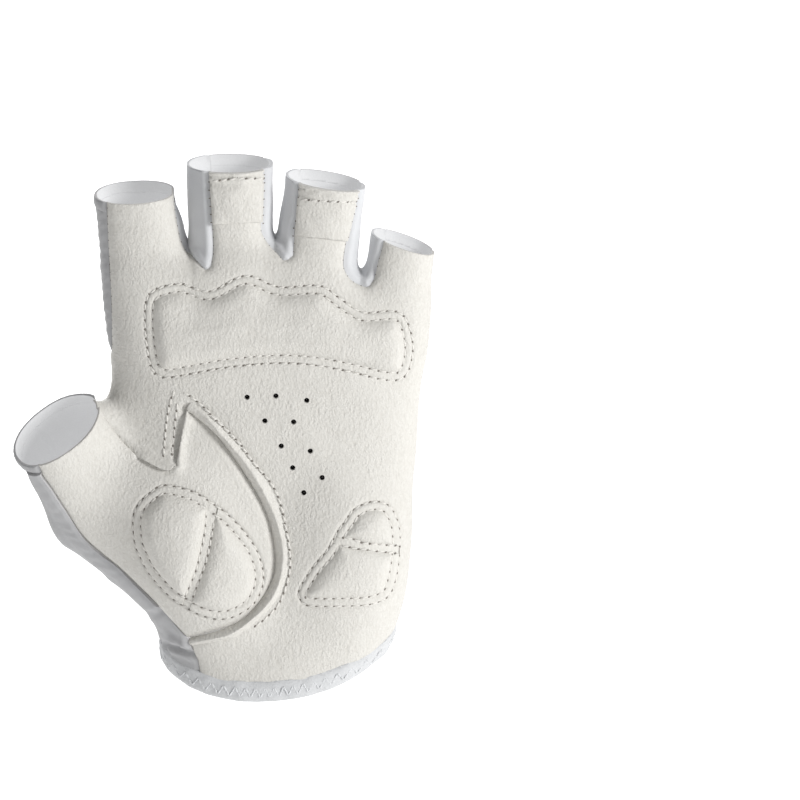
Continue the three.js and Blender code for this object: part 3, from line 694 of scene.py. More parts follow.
@dataclass
class SkinNet:
    """A fine net over the whole skin, made from a grid of the hand's field."""

    cell: float
    low: Triple = (-88, -44, -16)
    high: Triple = (52, 26, 158)

    def build(self) -> Patch:
        """The skin as one patch, cut at the open ends of the fingers and thumb.

        Returns:
            The patch.
        """
        lines = [np.arange(a, b, self.cell) for a, b in zip(self.low, self.high)]
        shape = tuple(len(line) for line in lines)
        grid = np.stack(np.meshgrid(*lines, indexing="ij"), axis=-1)
        values = np.empty(shape)
        for k in range(shape[0]):
            values[k] = HAND.value(grid[k].reshape(-1, 3)).reshape(shape[1:])
        points, faces = self.surface(grid, values)
        points = self.relax(points, faces)
        normals = unit(HAND.slope(points))
        triangles = np.concatenate([faces[:, [0, 1, 2]], faces[:, [0, 2, 3]]])
        patch = Patch(points, normals, triangles, np.full(len(points), 50.0))
        return patch.clip(past_ends(patch.points))

    def surface(self, grid: Array, values: Array) -> tuple[Array, Array]:
        """Points and four-sided faces where the field is 0.

        Args:
            grid: the sampled places.
            values: the field there.

        Returns:
            The points and the faces.
        """
        inside = values < 0
        shape = values.shape
        corners = [np.array([c & 1, (c >> 1) & 1, (c >> 2) & 1]) for c in range(8)]
        total = np.zeros(tuple(n - 1 for n in shape), np.int8)
        for a in corners:
            total += inside[a[0]:shape[0] - 1 + a[0], a[1]:shape[1] - 1 + a[1], a[2]:shape[2] - 1 + a[2]]
        cells = np.argwhere((total > 0) & (total < 8))
        number = np.full(total.shape, -1)
        number[tuple(cells.T)] = np.arange(len(cells))
        sums, counts = np.zeros((len(cells), 3)), np.zeros(len(cells))
        for index, a in enumerate(corners):
            for bit in (1, 2, 4):
                if index & bit:
                    continue
                at_a, at_b = tuple((cells + a).T), tuple((cells + corners[index | bit]).T)
                va, vb = values[at_a], values[at_b]
                crossed = (va < 0) != (vb < 0)
                share = np.where(crossed, va / np.where(crossed, va - vb, 1), 0)[:, None]
                sums += np.where(crossed[:, None], grid[at_a] * (1 - share) + grid[at_b] * share, 0)
                counts += crossed
        points = sums / counts[:, None]
        faces = []
        steps = np.eye(3, dtype=int)
        for axis in range(3):
            u, v = steps[(axis + 1) % 3], steps[(axis + 2) % 3]
            first = np.argwhere(inside != np.roll(inside, -1, axis=axis))
            keep = (first > 0).all(axis=1) & (first < np.array(shape) - 2).all(axis=1)
            first = first[keep]
            find = lambda a, b: number[tuple((first - a * u - b * v).T)]
            quads = np.stack([find(1, 1), find(0, 1), find(0, 0), find(1, 0)], axis=1)
            filled = inside[tuple(first.T)]
            faces.append(np.where(filled[:, None], quads, quads[:, ::-1]))
        return points, np.concatenate(faces)

    def relax(self, points: Array, faces: Array) -> Array:
        """Evens the net out and brings it onto the skin.

        Args:
            points: the net's points.
            faces: its four-sided faces.

        Returns:
            The moved points.
        """
        ends = np.concatenate([faces[:, [0, 1]], faces[:, [1, 2]], faces[:, [2, 3]], faces[:, [3, 0]]])
        count = np.maximum(np.bincount(ends[:, 0], minlength=len(points)), 1)
        for _ in range(3):
            means = [
                np.bincount(ends[:, 0], weights=points[ends[:, 1], k], minlength=len(points)) / count
                for k in range(3)
            ]
            points = HAND.settle(points * 0.4 + np.stack(means, axis=1) * 0.6, 1)
        return HAND.settle(points, 1)


def nearest_finger(points: Array) -> Array:
    """The number of the finger that each point stands with."""
    return np.searchsorted(FINGER_BOUNDS, points[:, 0])


def past_ends(points: Array) -> Array:
    """How far points are past the open end of their finger or thumb, or well below 0 elsewhere.

    Args:
        points: places on the skin.

    Returns:
        Distances, above 0 past the end.
    """
    away, finger_foot, thumb_reach = -20.0, 106.0, 17.0
    numbers = nearest_finger(points)
    past = np.choose(numbers, [finger.past(points) for finger in FINGERS])
    past = np.where(points[:, 2] > finger_foot, np.maximum(past, away), away)
    along, beside = HAND.by_thumb(points)
    thumb = np.where((beside < thumb_reach) & (along > away), along, away)
    return np.maximum(past, thumb)


def inner_side(points: Array, top: Array) -> Array:
    """How far a sheet's inner side stands above the skin, thinner towards the open ends."""
    thick, thinned, least = -1.15, 0.6, 0.45
    return np.minimum(top - least, thick + thinned * ramp(past_ends(points), -3.5, -0.3))


class NodeSketch:
    """A material laid out node by node."""

    def __init__(self, name: str) -> None:
        """Starts a material with its shader."""
        self.material = bpy.data.materials.new(name)
        self.material.use_nodes = True
        self.tree = self.material.node_tree
        self.shader = self.tree.nodes["Principled BSDF"]

    def add(self, kind: str, inputs: dict | None = None, **settings) -> bpy.types.Node:
        """Adds a node.

        Args:
            kind: the node's type.
            inputs: a value or a socket for each named input.
            settings: the node's own properties.

        Returns:
            The node.
        """
        node = self.tree.nodes.new(kind)
        for name, value in settings.items():
            setattr(node, name, value)
        for name, value in (inputs or {}).items():
            self.feed(node.inputs[name], value)
        return node

    def feed(self, socket: Socket, value: Value) -> None:
        """Gives an input a value, or the output of another node."""
        if isinstance(value, Socket):
            self.tree.links.new(value, socket)
        else:
            socket.default_value = value

    def maths(self, operation: str, one: Value, two: Value = 0.0, three: Value = 0.0) -> Socket:
        """The result of a sum on up to three numbers.

        Args:
            operation: the kind of sum.
            one: the first number.
            two: the second.
            three: the third, where the sum has one.

        Returns:
            The node's output.
        """
        node = self.add("ShaderNodeMath", operation=operation)
        for place, value in enumerate((one, two, three)):
            if place < len(node.inputs):
                self.feed(node.inputs[place], value)
        return node.outputs[0]

    def place(self, stretch: Triple = (1, 1, 1), turn: Triple = (0, 0, 0)) -> Socket:
        """Object coordinates in millimetres, stretched and turned.

        Args:
            stretch: the pattern's factor on each axis.
            turn: its angle on each axis.

        Returns:
            The node's output.
        """
        coordinates = self.add("ShaderNodeTexCoord").outputs["Object"]
        scale = tuple(s / MM for s in stretch)
        mapped = self.add("ShaderNodeMapping", {"Vector": coordinates, "Scale": scale, "Rotation": turn})
        return mapped.outputs[0]

    def noise(self, scale: float, detail: float = 2.0, vector: Socket | None = None) -> Socket:
        """Cloudy noise.

        Args:
            scale: waves to the millimetre.
            detail: how many finer layers it has.
            vector: where it is read, or none for plain coordinates.

        Returns:
            The node's output.
        """
        where = vector if vector is not None else self.place()
        node = self.add("ShaderNodeTexNoise", {
            "Vector": where, "Scale": scale, "Detail": detail, "Roughness": 0.55,
        })
        return node.outputs[0]

    def mix(self, share: Value, low: Triple, high: Triple) -> Socket:
        """A colour between two.

        Args:
            share: 0 for the first colour, 1 for the second.
            low: the first.
            high: the second.

        Returns:
            The node's output.
        """
        node = self.add("ShaderNodeMix", data_type="RGBA")
        self.feed(node.inputs["Factor"], share)
        self.feed(node.inputs[6], (*low, 1))
        self.feed(node.inputs[7], (*high, 1))
        return node.outputs[2]

    def range(self, value: Value, low: float, high: float, to_low: float, to_high: float) -> Socket:
        """A number moved from one range to another."""
        node = self.add("ShaderNodeMapRange", {
            "Value": value, "From Min": low, "From Max": high, "To Min": to_low, "To Max": to_high,
        })
        return node.outputs[0]

    def bump(self, height: Value, depth: float, strength: float = 1.0,
             under: Socket | None = None) -> Socket:
        """A relief.

        Args:
            height: the relief.
            depth: its depth in millimetres.
            strength: how much of it shows.
            under: a relief that it lies on.

        Returns:
            The node's output.
        """
        node = self.add("ShaderNodeBump", {"Height": height, "Distance": depth * MM, "Strength": strength})
        if under is not None:
            self.feed(node.inputs["Normal"], under)
        return node.outputs[0]

    def finish(self, colour: Value, roughness: Value, normal: Socket | None = None,
               specular: float = 0.35, sheen: float = 0.0) -> Material:
        """Sets the shader.

        Args:
            colour: a colour or a socket.
            roughness: a number or a socket.
            normal: the relief's output.
            specular: how strongly the surface mirrors.
            sheen: how strongly its fuzz shows.

        Returns:
            The material.
        """
        self.feed(self.shader.inputs["Base Color"], colour)
        self.feed(self.shader.inputs["Roughness"], roughness)
        self.shader.inputs["Specular IOR Level"].default_value = specular
        self.shader.inputs["Sheen Weight"].default_value = sheen
        self.shader.inputs["Sheen Roughness"].default_value = 0.45
        if normal is not None:
            self.feed(self.shader.inputs["Normal"], normal)
        return self.material


@dataclass(frozen=True)
class Leather:
    """Soft warm white leather with a pebble grain and fine creases."""

    name: str = "grained_leather"
    light: Triple = (0.635, 0.62, 0.583)
    dark: Triple = (0.575, 0.557, 0.517)

    def make(self) -> Material:
        """Builds the material.

        Returns:
            The material.
        """
        sketch = NodeSketch(self.name)
        place = sketch.place()
        shift = sketch.add("ShaderNodeVectorMath", operation="SCALE")
        noise = sketch.add("ShaderNodeTexNoise", {"Vector": place, "Scale": 0.6, "Detail": 2.0})
        sketch.feed(shift.inputs[0], noise.outputs["Color"])
        shift.inputs["Scale"].default_value = 1.1
        warp = sketch.add("ShaderNodeVectorMath", {0: place, 1: shift.outputs[0]}, operation="ADD")
        pebble = sketch.add("ShaderNodeTexVoronoi", {"Vector": warp.outputs[0], "Scale": 1.5},
                            feature="SMOOTH_F1")
        pebbles = pebble.outputs["Distance"]
        creases = sketch.noise(1.25, 2, sketch.place((1.0, 0.8, 0.42), (0, math.radians(46), 0)))
        fine = sketch.noise(2.6, 2)
        height = sketch.maths("MULTIPLY_ADD", pebbles, -0.6, sketch.maths("MULTIPLY", creases, 0.9))
        height = sketch.maths("MULTIPLY_ADD", fine, 0.12, height)
        patchy = sketch.range(sketch.noise(0.07, 2), 0.35, 0.65, 0.6, 1.0)
        broad = sketch.bump(sketch.noise(0.2, 2), 0.5, 0.35)
        relief = sketch.bump(sketch.maths("MULTIPLY", height, patchy), 0.3, 1.0, broad)
        shade = sketch.range(sketch.maths("MULTIPLY_ADD", pebbles, -0.6, creases), -0.1, 0.45, 0, 1)
        colour = sketch.mix(shade, self.dark, self.light)
        roughness = sketch.range(fine, 0.3, 0.7, 0.5, 0.62)
        return sketch.finish(colour, roughness, relief, 0.3, 0.05)


@dataclass(frozen=True)
class Knit:
    """Matte fine knit with wales that run from wrist to fingertips, painted a darker grey as shade where it
    faces the front.
    """

    name: str = "ribbed_knit"
    light: Triple = (0.64, 0.62, 0.625)
    dark: Triple = (0.56, 0.545, 0.552)
    # smooth: the darker grey of the front-facing knit, a painted shade, not the knit's own colour.
    smooth: Triple = (0.42, 0.42, 0.425)
    wale: float = 1.1
    course: float = 0.75

    def make(self) -> Material:
        """Builds the material, which reads the piece's own map of wales and courses.

        Returns:
            The material.
        """
        sketch = NodeSketch(self.name)
        laid = sketch.add("ShaderNodeUVMap", uv_map="knit")
        parts = sketch.add("ShaderNodeSeparateXYZ", {0: laid.outputs[0]})
        wave = sketch.maths("SINE", sketch.maths("MULTIPLY", parts.outputs[0], 2 * math.pi / self.wale))
        loops = sketch.maths("SINE", sketch.maths("MULTIPLY", parts.outputs[1], 2 * math.pi / self.course))
        fuzz = sketch.noise(2.4, 3)
        # plain is 1 where the knit faces the front: the wales are smoothed there and the colour turns to the
        # darker smooth grey, a painted shade.
        plain = sketch.add("ShaderNodeAttribute", attribute_name="plain").outputs["Fac"]
        ribbed = sketch.maths("SUBTRACT", 1.0, plain)
        wave = sketch.maths("MULTIPLY", wave, ribbed)
        height = sketch.maths("MULTIPLY_ADD", wave, 0.5, sketch.maths("MULTIPLY", fuzz, 0.7))
        height = sketch.maths("MULTIPLY_ADD", sketch.maths("MULTIPLY", loops, wave), 0.16, height)
        relief = sketch.bump(height, 0.13, 0.8)
        shade = sketch.range(sketch.maths("ADD", wave, fuzz), -0.6, 1.3, 0, 1)
        # Painted shade: the front-facing knit takes the darker smooth grey.
        colour = sketch.add("ShaderNodeMix", data_type="RGBA")
        sketch.feed(colour.inputs["Factor"], plain)
        sketch.feed(colour.inputs[6], sketch.mix(shade, self.dark, self.light))
        sketch.feed(colour.inputs[7], (*self.smooth, 1))
        return sketch.finish(colour.outputs[2], 0.9, relief, 0.2, 0.15)


@dataclass(frozen=True)
class Cloth:
    """Plain cloth with a very fine weave and soft mottling, and a painted glow where one is given."""

    name: str
    light: Triple
    dark: Triple
    weave: float
    depth: float
    sheen: float = 0.2
    painted_glow: float = 0.0

    def make(self) -> Material:
        """Builds the material.

        Returns:
            The material.
        """
        sketch = NodeSketch(self.name)
        threads = sketch.noise(self.weave, 2)
        clouds = sketch.noise(0.12, 3)
        height = sketch.maths("MULTIPLY_ADD", clouds, 0.4, threads)
        relief = sketch.bump(height, self.depth, 0.7)
        mottled = sketch.maths("MULTIPLY_ADD", threads, 0.6, sketch.maths("MULTIPLY", clouds, 0.7))
        shade = sketch.range(mottled, 0.45, 0.85, 0, 1)
        # Painted light: a glow in the cloth's light colour, used on the lining, which is no lamp.
        sketch.shader.inputs["Emission Color"].default_value = (*self.light, 1)
        sketch.shader.inputs["Emission Strength"].default_value = self.painted_glow
        return sketch.finish(sketch.mix(shade, self.dark, self.light), 0.82, relief, 0.2, self.sheen)


@dataclass(frozen=True)
class Plain:
    """One even colour with a slight mottling, for thread, needle holes and the near-black painted shade of
    the vent holes.
    """

    name: str
    colour: Triple
    rough: float = 0.7

    def make(self) -> Material:
        """Builds the material.

        Returns:
            The material.
        """
        sketch = NodeSketch(self.name)
        shade = sketch.range(sketch.noise(1.5, 2), 0.3, 0.7, 0, 1)
        darker = tuple(0.86 * part for part in self.colour)
        return sketch.finish(sketch.mix(shade, darker, self.colour), self.rough, None, 0.25, 0.1)


@dataclass
class Wardrobe:
    """All finishes, each made once."""

    leather: Material = field(default_factory=Leather().make)
    knit: Material = field(default_factory=Knit().make)
    stretch: Material = field(default_factory=Cloth(
        "stretch_cloth", (0.62, 0.627, 0.64), (0.575, 0.582, 0.595), 3.5, 0.05, 0.12).make)
    elastic: Material = field(default_factory=Cloth(
        "elastic_band", (0.62, 0.626, 0.633), (0.53, 0.537, 0.545), 1.9, 0.18, 0.12).make)
    # The lining glows: painted light that brightens the shaded insides of the open ends.
    lining: Material = field(default_factory=Cloth(
        "soft_lining_painted_glow", (0.52, 0.522, 0.527), (0.47, 0.472, 0.477), 2.6, 0.12, 0.1, 0.5).make)
    rib: Material = field(default_factory=Cloth(
        "raised_rib", (0.70, 0.685, 0.69), (0.63, 0.615, 0.62), 2.4, 0.08, 0.12).make)
    suede: Material = field(default_factory=Plain("raw_edge", (0.6, 0.585, 0.56), 0.9).make)
    thread: Material = field(default_factory=Plain("cream_thread", (0.72, 0.70, 0.66)).make)
    cool_thread: Material = field(default_factory=Plain("white_thread", (0.66, 0.67, 0.68)).make)
    # Near black: painted shade for the vent holes.
    painted_hole_shade: Material = field(default_factory=Plain("vent_painted_shade", (0.012, 0.011, 0.01), 0.9).make)
    prick: Material = field(default_factory=Plain("needle_hole", (0.21, 0.19, 0.17), 0.9).make)


def mesh_object(name: str, points: Array, faces: Array, materials: list[Material]) -> Piece:
    """Makes an object from points in millimetres.

    Args:
        name: the piece's name.
        points: its points.
        faces: its triangles or four-sided faces.
        materials: its materials in order.

    Returns:
        The object, smooth shaded, in the scene.
    """
    mesh = bpy.data.meshes.new(name)
    mesh.from_pydata((points * MM).tolist(), [], faces.tolist())
    mesh.update()
    mesh.polygons.foreach_set("use_smooth", [True] * len(mesh.polygons))
    for material in materials:
        mesh.materials.append(material)
    made = bpy.data.objects.new(name, mesh)
    bpy.context.scene.collection.objects.link(made)
    return made


def shell(name: str, patch: Patch, top: Array, under: Array | float, outer: Material, inner: Material,
          edge: Material | None = None) -> Piece:
    """A closed sheet with its own outer and inner side.

    Args:
        name: the piece's name.
        patch: the skin that it lies on.
        top: how far its outer side stands above the skin, at each point.
        under: how far its inner side stands above the skin.
        outer: the outer side's material.
        inner: the inner side's material.
        edge: the cut edge's material, or none for the outer side's.

    Returns:
        The piece.
    """
    count = len(patch.points)
    lift = np.broadcast_to(np.asarray(top, float), count)[:, None]
    sink = np.broadcast_to(np.asarray(under, float), count)[:, None]
    points = np.concatenate([patch.points + patch.normals * lift, patch.points + patch.normals * sink])
    a, b = patch.rim().T
    sides = np.concatenate([np.stack([b, a, a + count], axis=1), np.stack([b, a + count, b + count], axis=1)])
    faces = np.concatenate([patch.faces, patch.faces[:, ::-1] + count, sides])
    made = mesh_object(name, points, faces, [outer, inner, edge or outer])
    size = len(patch.faces)
    inside = np.zeros(len(faces), int)
    inside[size:2 * size] = 1
    inside[2 * size:] = 2
    smooth = np.ones(len(faces), bool)
    smooth[2 * size:] = False
    made.data.polygons.foreach_set("material_index", inside)
    made.data.polygons.foreach_set("use_smooth", smooth)
    made.data.update()
    return made


def with_modifier(made: Piece, kind: str, **settings) -> Piece:
    """Adds a modifier and applies it.

    Args:
        made: the piece.
        kind: the modifier's type.
        settings: its values.

    Returns:
        The same piece.
    """
    bpy.ops.object.select_all(action="DESELECT")
    made.select_set(True)
    bpy.context.view_layer.objects.active = made
    modifier = made.modifiers.new(kind.lower(), kind)
    for name, value in settings.items():
        setattr(modifier, name, value)
    bpy.ops.object.modifier_apply(modifier=modifier.name)
    return made


def report(*pieces: Piece) -> None:
    """Logs each finished piece and its faces."""
    for made in pieces:
        LOG.info("%s: %d faces", made.name, len(made.data.polygons))


def lay_knit(made: Piece) -> None:
    """Maps the wales and courses of a knit piece, in millimetres, by the ribs' own run, and marks where it
    faces the front, where the knit is smoothed and painted a darker shade.

    Args:
        made: the piece.
    """
    layer = made.data.uv_layers.new(name="knit")
    count = len(made.data.vertices)
    flat = np.empty(count * 3)
    made.data.vertices.foreach_get("co", flat)
    points = flat.reshape(-1, 3) / MM
    laid = np.stack([RIBS.wale(points[:, 0], points[:, 2]), points[:, 2]], axis=1)
    made.data.vertex_normals.foreach_get("vector", flat)
    # plain: 1 where the knit faces the front; there the material smooths the wales and paints a darker shade.
    plain = made.data.attributes.new("plain", "FLOAT", "POINT")
    plain.data.foreach_set("value", ramp(-flat.reshape(-1, 3)[:, 1], -0.1, 0.3))
    corner = np.empty(len(made.data.loops), int)
    made.data.loops.foreach_get("vertex_index", corner)
    layer.data.foreach_set("uv", laid[corner].reshape(-1))


def ride(made: Piece, finish: Finish, *nodes: str) -> Piece:
    """Puts a piece on the glove's body, in place of its solids.

    Args:
        made: the piece.
        finish: its slot; not used.
        nodes: the solids that it replaces.

    Returns:
        The same piece.
    """
    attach(made, "root")
    if nodes:
        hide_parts(*nodes)
    return made


class Ribs:
    """The raised ribs of the knit back, and where its wales run."""

    levels = (-12.0, 40.0, 95.0, 114.0, 145.0)
    lines = (
        ((-31.5, -37.9, -42.9, -44.8, -48.4), -12, 150), ((-25.2, -26.2, -29.3, -31, -37.8), -12, 150),
        ((-14.2, -14.2, -15.7, -18.4, -34), -12, 119), ((-3, -2.5, -3.7, -7.6, -12.4), -12, 160),
        ((7.9, 9.2, 9.4, 0.5, -3.2), -12, 160), ((17.7, 18.8, 19.2, 12, -8), -12, 121),
        ((25.5, 27.5, 27.4, 20.6, 20.8), -12, 155), ((31.4, 35, 34.2, 29.4, 26), -12, 110),
        ((35, 40.4, 40.6, 38.2, 40.6), 52, 140),
    )
    thumb = ((-46, 14, 68), (-54, 24, 82), (-62, 34, 80), (-69.5, 48, 74))
    width = 2.7
    height = 0.75

    def wale(self, x: Array, z: Array) -> Array:
        """A running number across the back that follows the ribs, in millimetres.

        Args:
            x: places across.
            z: heights.

        Returns:
            A number for each place.
        """
        heights = np.clip(z, self.levels[0], self.levels[-1])
        places = np.stack([np.interp(heights, self.levels, line[0]) for line in self.lines[:8]], axis=1)
        places = np.maximum.accumulate(places + np.arange(8) * 0.01, axis=1)
        spread = 8.8
        low = np.clip((x[:, None] >= places).sum(axis=1) - 1, 0, 6)
        left = np.take_along_axis(places, low[:, None], axis=1)[:, 0]
        right = np.take_along_axis(places, low[:, None] + 1, axis=1)[:, 0]
        share = (x - left) / np.maximum(right - left, 1.5)
        inside = np.clip(share, 0, 1) * spread
        return low * spread + inside + np.minimum(x - places[:, 0], 0) + np.maximum(x - places[:, 7], 0)

    def paths(self) -> list[Array]:
        """The ribs' middle lines on the skin of the back.

        Returns:
            A line for each rib.
        """
        step = 1.0
        runs = [(Line(tuple(zip(row[0], self.levels)), spans=12).points(), *row[1:]) for row in self.lines]
        runs += [(np.array([(x, low), (x, high)], float), low, high) for x, low, high in self.thumb]
        paths = []
        for knots, low, high in runs:
            z = np.arange(low, high, step)
            start = np.stack([np.interp(z, knots[:, 1], knots[:, 0]), np.zeros(len(z)), z], axis=1)
            paths.append(HAND.reach(start, np.tile([0.0, -1, 0], (len(start), 1)), 30))
        return paths


RIBS = Ribs()


class Relief:
    """How far the finished surfaces stand above the plain skin."""

    def __init__(self) -> None:
        """Starts with no surfaces."""
        self.surfaces: list[tuple[KDTree, Array]] = []

    def add(self, points: Array, top: Array) -> None:
        """Adds a surface.

        Args:
            points: its points on the plain skin.
            top: how far it stands above each.
        """
        tree = KDTree(len(points))
        for number, point in enumerate(points.tolist()):
            tree.insert(point, number)
        tree.balance()
        self.surfaces.append((tree, top))

    def height(self, skin: Array, reach: float = 1.0) -> Array:
        """The height of the uppermost surface at points of the skin.

        Args:
            skin: points of the skin.
            reach: how near a surface has to be.

        Returns:
            Heights, 0 where no surface is near.
        """
        heights = np.full(len(skin), -9.0)
        for tree, top in self.surfaces:
            for place, point in enumerate(skin.tolist()):
                _, number, gap = tree.find(point)
                if gap < reach:
                    heights[place] = max(heights[place], top[number])
        return np.where(heights < -5, 0, heights)


@dataclass
class Sewing:
    """Rows of small stitches and the needle holes between them."""

    wardrobe: Wardrobe
    relief: Relief
    pitch: float = 2.6
    length: float = 1.75
    radius: float = 0.3
    stitches: list[Array] = field(default_factory=list)
    holes: list[Array] = field(default_factory=list)

    def capsule(self) -> tuple[Array, Array]:
        """One stitch along X, with its length and radius one.

        Returns:
            The points and the faces.
        """
        rings, sides = ((-0.5, 0.3), (-0.4, 0.75), (-0.15, 1), (0.15, 1), (0.4, 0.75), (0.5, 0.3)), 7
        turns = [2 * math.pi * k / sides for k in range(sides)]
        points = [(x, r * math.cos(turn), r * math.sin(turn)) for x, r in rings for turn in turns]
        return np.array(points), net_faces(len(rings), sides, closed=True)

    def lay(self, centre: Array, along: Array, up: Array, size: Triple, into: list[Array]) -> None:
        """Adds one small body for each place.

        Args:
            centre: the places.
            along: the direction of each.
            up: the outward direction of each.
            size: length, half width and half height.
            into: the list that takes them.
        """
        points, _ = self.capsule()
        up = unit(up)
        along = unit(along - up * np.sum(along * up, axis=1, keepdims=True))
        side = np.cross(up, along)
        for k in range(len(centre)):
            into.append(
                centre[k] + points[:, 0:1] * along[k] * size[0] + points[:, 1:2] * side[k] * size[1]
                + points[:, 2:3] * up[k] * size[2]
            )

    def row(self, line: Array, closed: bool = False, keep: Test | None = None) -> None:
        """A row of stitches on the palm.

        Args:
            line: the row's points on the leaning sheet.
            closed: whether it runs round.
            keep: a test of places on the sheet, true where the row is sewn.
        """
        slant, hole_slant, lift, hole_lift, hole_size = 0.18, 0.7, 0.04, 0.02, (0.78, 0.27, 0.13)
        places, runs = spaced(line, self.pitch, closed)
        if keep is not None:
            kept = keep(places)
            places, runs = places[kept], runs[kept]
        if not len(places):
            return
        skin, ahead = on_palm(places), on_palm(places + runs * self.pitch / 2)
        along, up = unit(ahead - skin), unit(HAND.slope(skin))
        side = np.cross(up, along)
        level = self.relief.height(skin)[:, None]
        self.lay(skin + up * (level + lift), along + slant * side, up,
                 (self.length, self.radius, self.radius * 0.8), self.stitches)
        up = unit(HAND.slope(ahead))
        level = self.relief.height(ahead)[:, None]
        self.lay(ahead + up * (level + hole_lift), along + hole_slant * side, up, hole_size, self.holes)

    def build(self, name: str, finish: Finish, cool: bool = False) -> list[Piece]:
        """Turns what was laid into two pieces, thread and needle holes.

        Args:
            name: the pieces' common name.
            finish: their slot.
            cool: whether the thread is the cooler white.

        Returns:
            The pieces.
        """
        made = []
        _, pattern = self.capsule()
        thread = self.wardrobe.cool_thread if cool else self.wardrobe.thread
        laid = (("stitches", self.stitches, thread), ("holes", self.holes, self.wardrobe.prick))
        for part, bodies, material in laid:
            if not bodies:
                continue
            count = len(bodies[0])
            faces = np.concatenate([pattern + k * count for k in range(len(bodies))])
            piece = mesh_object(f"{name}_{part}", np.concatenate(bodies), faces, [material])
            made.append(ride(piece, finish))
        return made


@dataclass
class Skin:
    """The whole skin cut into the glove's panels."""

    cell: float
    tuck: float = 0.9

    def __post_init__(self) -> None:
        """Builds the net and measures it against the seams."""
        net = SkinNet(self.cell).build()
        for reach, lines in self.fine_lines():
            front = net.points[:, 1] < MID_DEPTH + 1
            flat = on_sheet(net.points)
            near = np.min([distances(flat, line) for line in lines], axis=0)
            net = net.refine((near < reach) & front)
        points = HAND.settle(net.points, 1)
        self.net = Patch(points, unit(HAND.slope(points)), net.faces, net.edge)
        flat = on_sheet(points)
        middle = points[:, 1] - MID_DEPTH
        thumb_side = (points - HAND.thumb_rim) @ HAND.thumb_deep
        self.palm = np.maximum(distances(flat, SEAMS.palm(), True), middle)
        thumb = np.maximum(distances(flat, SEAMS.thumb(), True), thumb_side)
        self.thumb = np.maximum(thumb, middle)
        self.palm_only = np.maximum(self.palm, -thumb)
        self.crotches = {name: distances(flat, line, True) for name, line in SEAMS.crotches().items()}
        self.band = points[:, 2] - wrist_edge(points[:, 0], points[:, 1]) - BAND_HEIGHT

    def fine_lines(self) -> list[tuple[float, list[Array]]]:
        """The lines on the sheet along which the net is made finer.

        Returns:
            How wide and which lines, in the order of the steps.
        """
        loop = lambda line: np.concatenate([line.points(), line.points()[:1]])
        seams = (SEAMS.arc, SEAMS.flap, SEAMS.crotch, SEAMS.thumb_side, SEAMS.index_inner,
                 SEAMS.middle_outer, SEAMS.middle_inner, SEAMS.ring_outer, SEAMS.ring_inner,
                 SEAMS.little_outer, SEAMS.index_outer)
        pads = [loop(group) for group in PLAN.groups]
        rows = [LeatherPalm.inset(group.points(), LeatherPalm.row_gap) for group in PLAN.groups]
        vents = [np.array([vent, vent + 0.01]) for vent in VENTS]
        lines = [seam.points() for seam in seams + PLAN.splits] + pads + rows
        return [(0.85, lines), (2.2, vents), (1.6, vents), (2.6, CRUMPLE)]

    def cut(self, values: Array) -> Patch:
        """One panel, down to just under the wrist band.

        Args:
            values: below 0 inside the panel.

        Returns:
            The panel.
        """
        close = np.maximum(values, -(self.band + self.tuck)) < 2
        patch = self.net.near(close)
        order = np.unique(self.net.faces[close[self.net.faces].any(axis=1)])
        panel = patch.clip(values[order], seam=True)
        floor = wrist_edge(panel.points[:, 0], panel.points[:, 1]) + BAND_HEIGHT - self.tuck
        return panel.clip(floor - panel.points[:, 2])


# Where the cloth is crumpled beside the wrist: the fold, and the crease that runs from it to the band.
CRUMPLE = [
    np.array([(-32.7, 2.6), (-28.0, 1.0), (-23.5, -1.5)]),
    np.array([(-31.7, 1.8), (-30.9, -2), (-28.6, -5.5)]),
]

# The middles of the ten vent holes on the leaning sheet.
VENTS = np.array([
    (-7.6, 73.9), (0.7, 74.3), (9.6, 73), (-2.5, 67.1), (5.8, 66.8),
    (2.2, 59.8), (10.6, 58.4), (5.5, 53.5), (14, 50.7), (8.7, 46.3),
])


def waves(points: Array, length: float, seed: int) -> Array:
    """Gentle unevenness.

    Args:
        points: where it is read.
        length: its length in millimetres.
        seed: the random draws' start.

    Returns:
        Numbers between about -1 and 1.
    """
    draw = np.random.default_rng(seed)
    total = np.zeros(len(points))
    for _ in range(7):
        way = unit(draw.normal(size=3)) * 2 * math.pi / (length * draw.uniform(0.7, 1.5))
        total += np.sin(points @ way + draw.uniform(0, 2 * math.pi))
    return total / 3.2


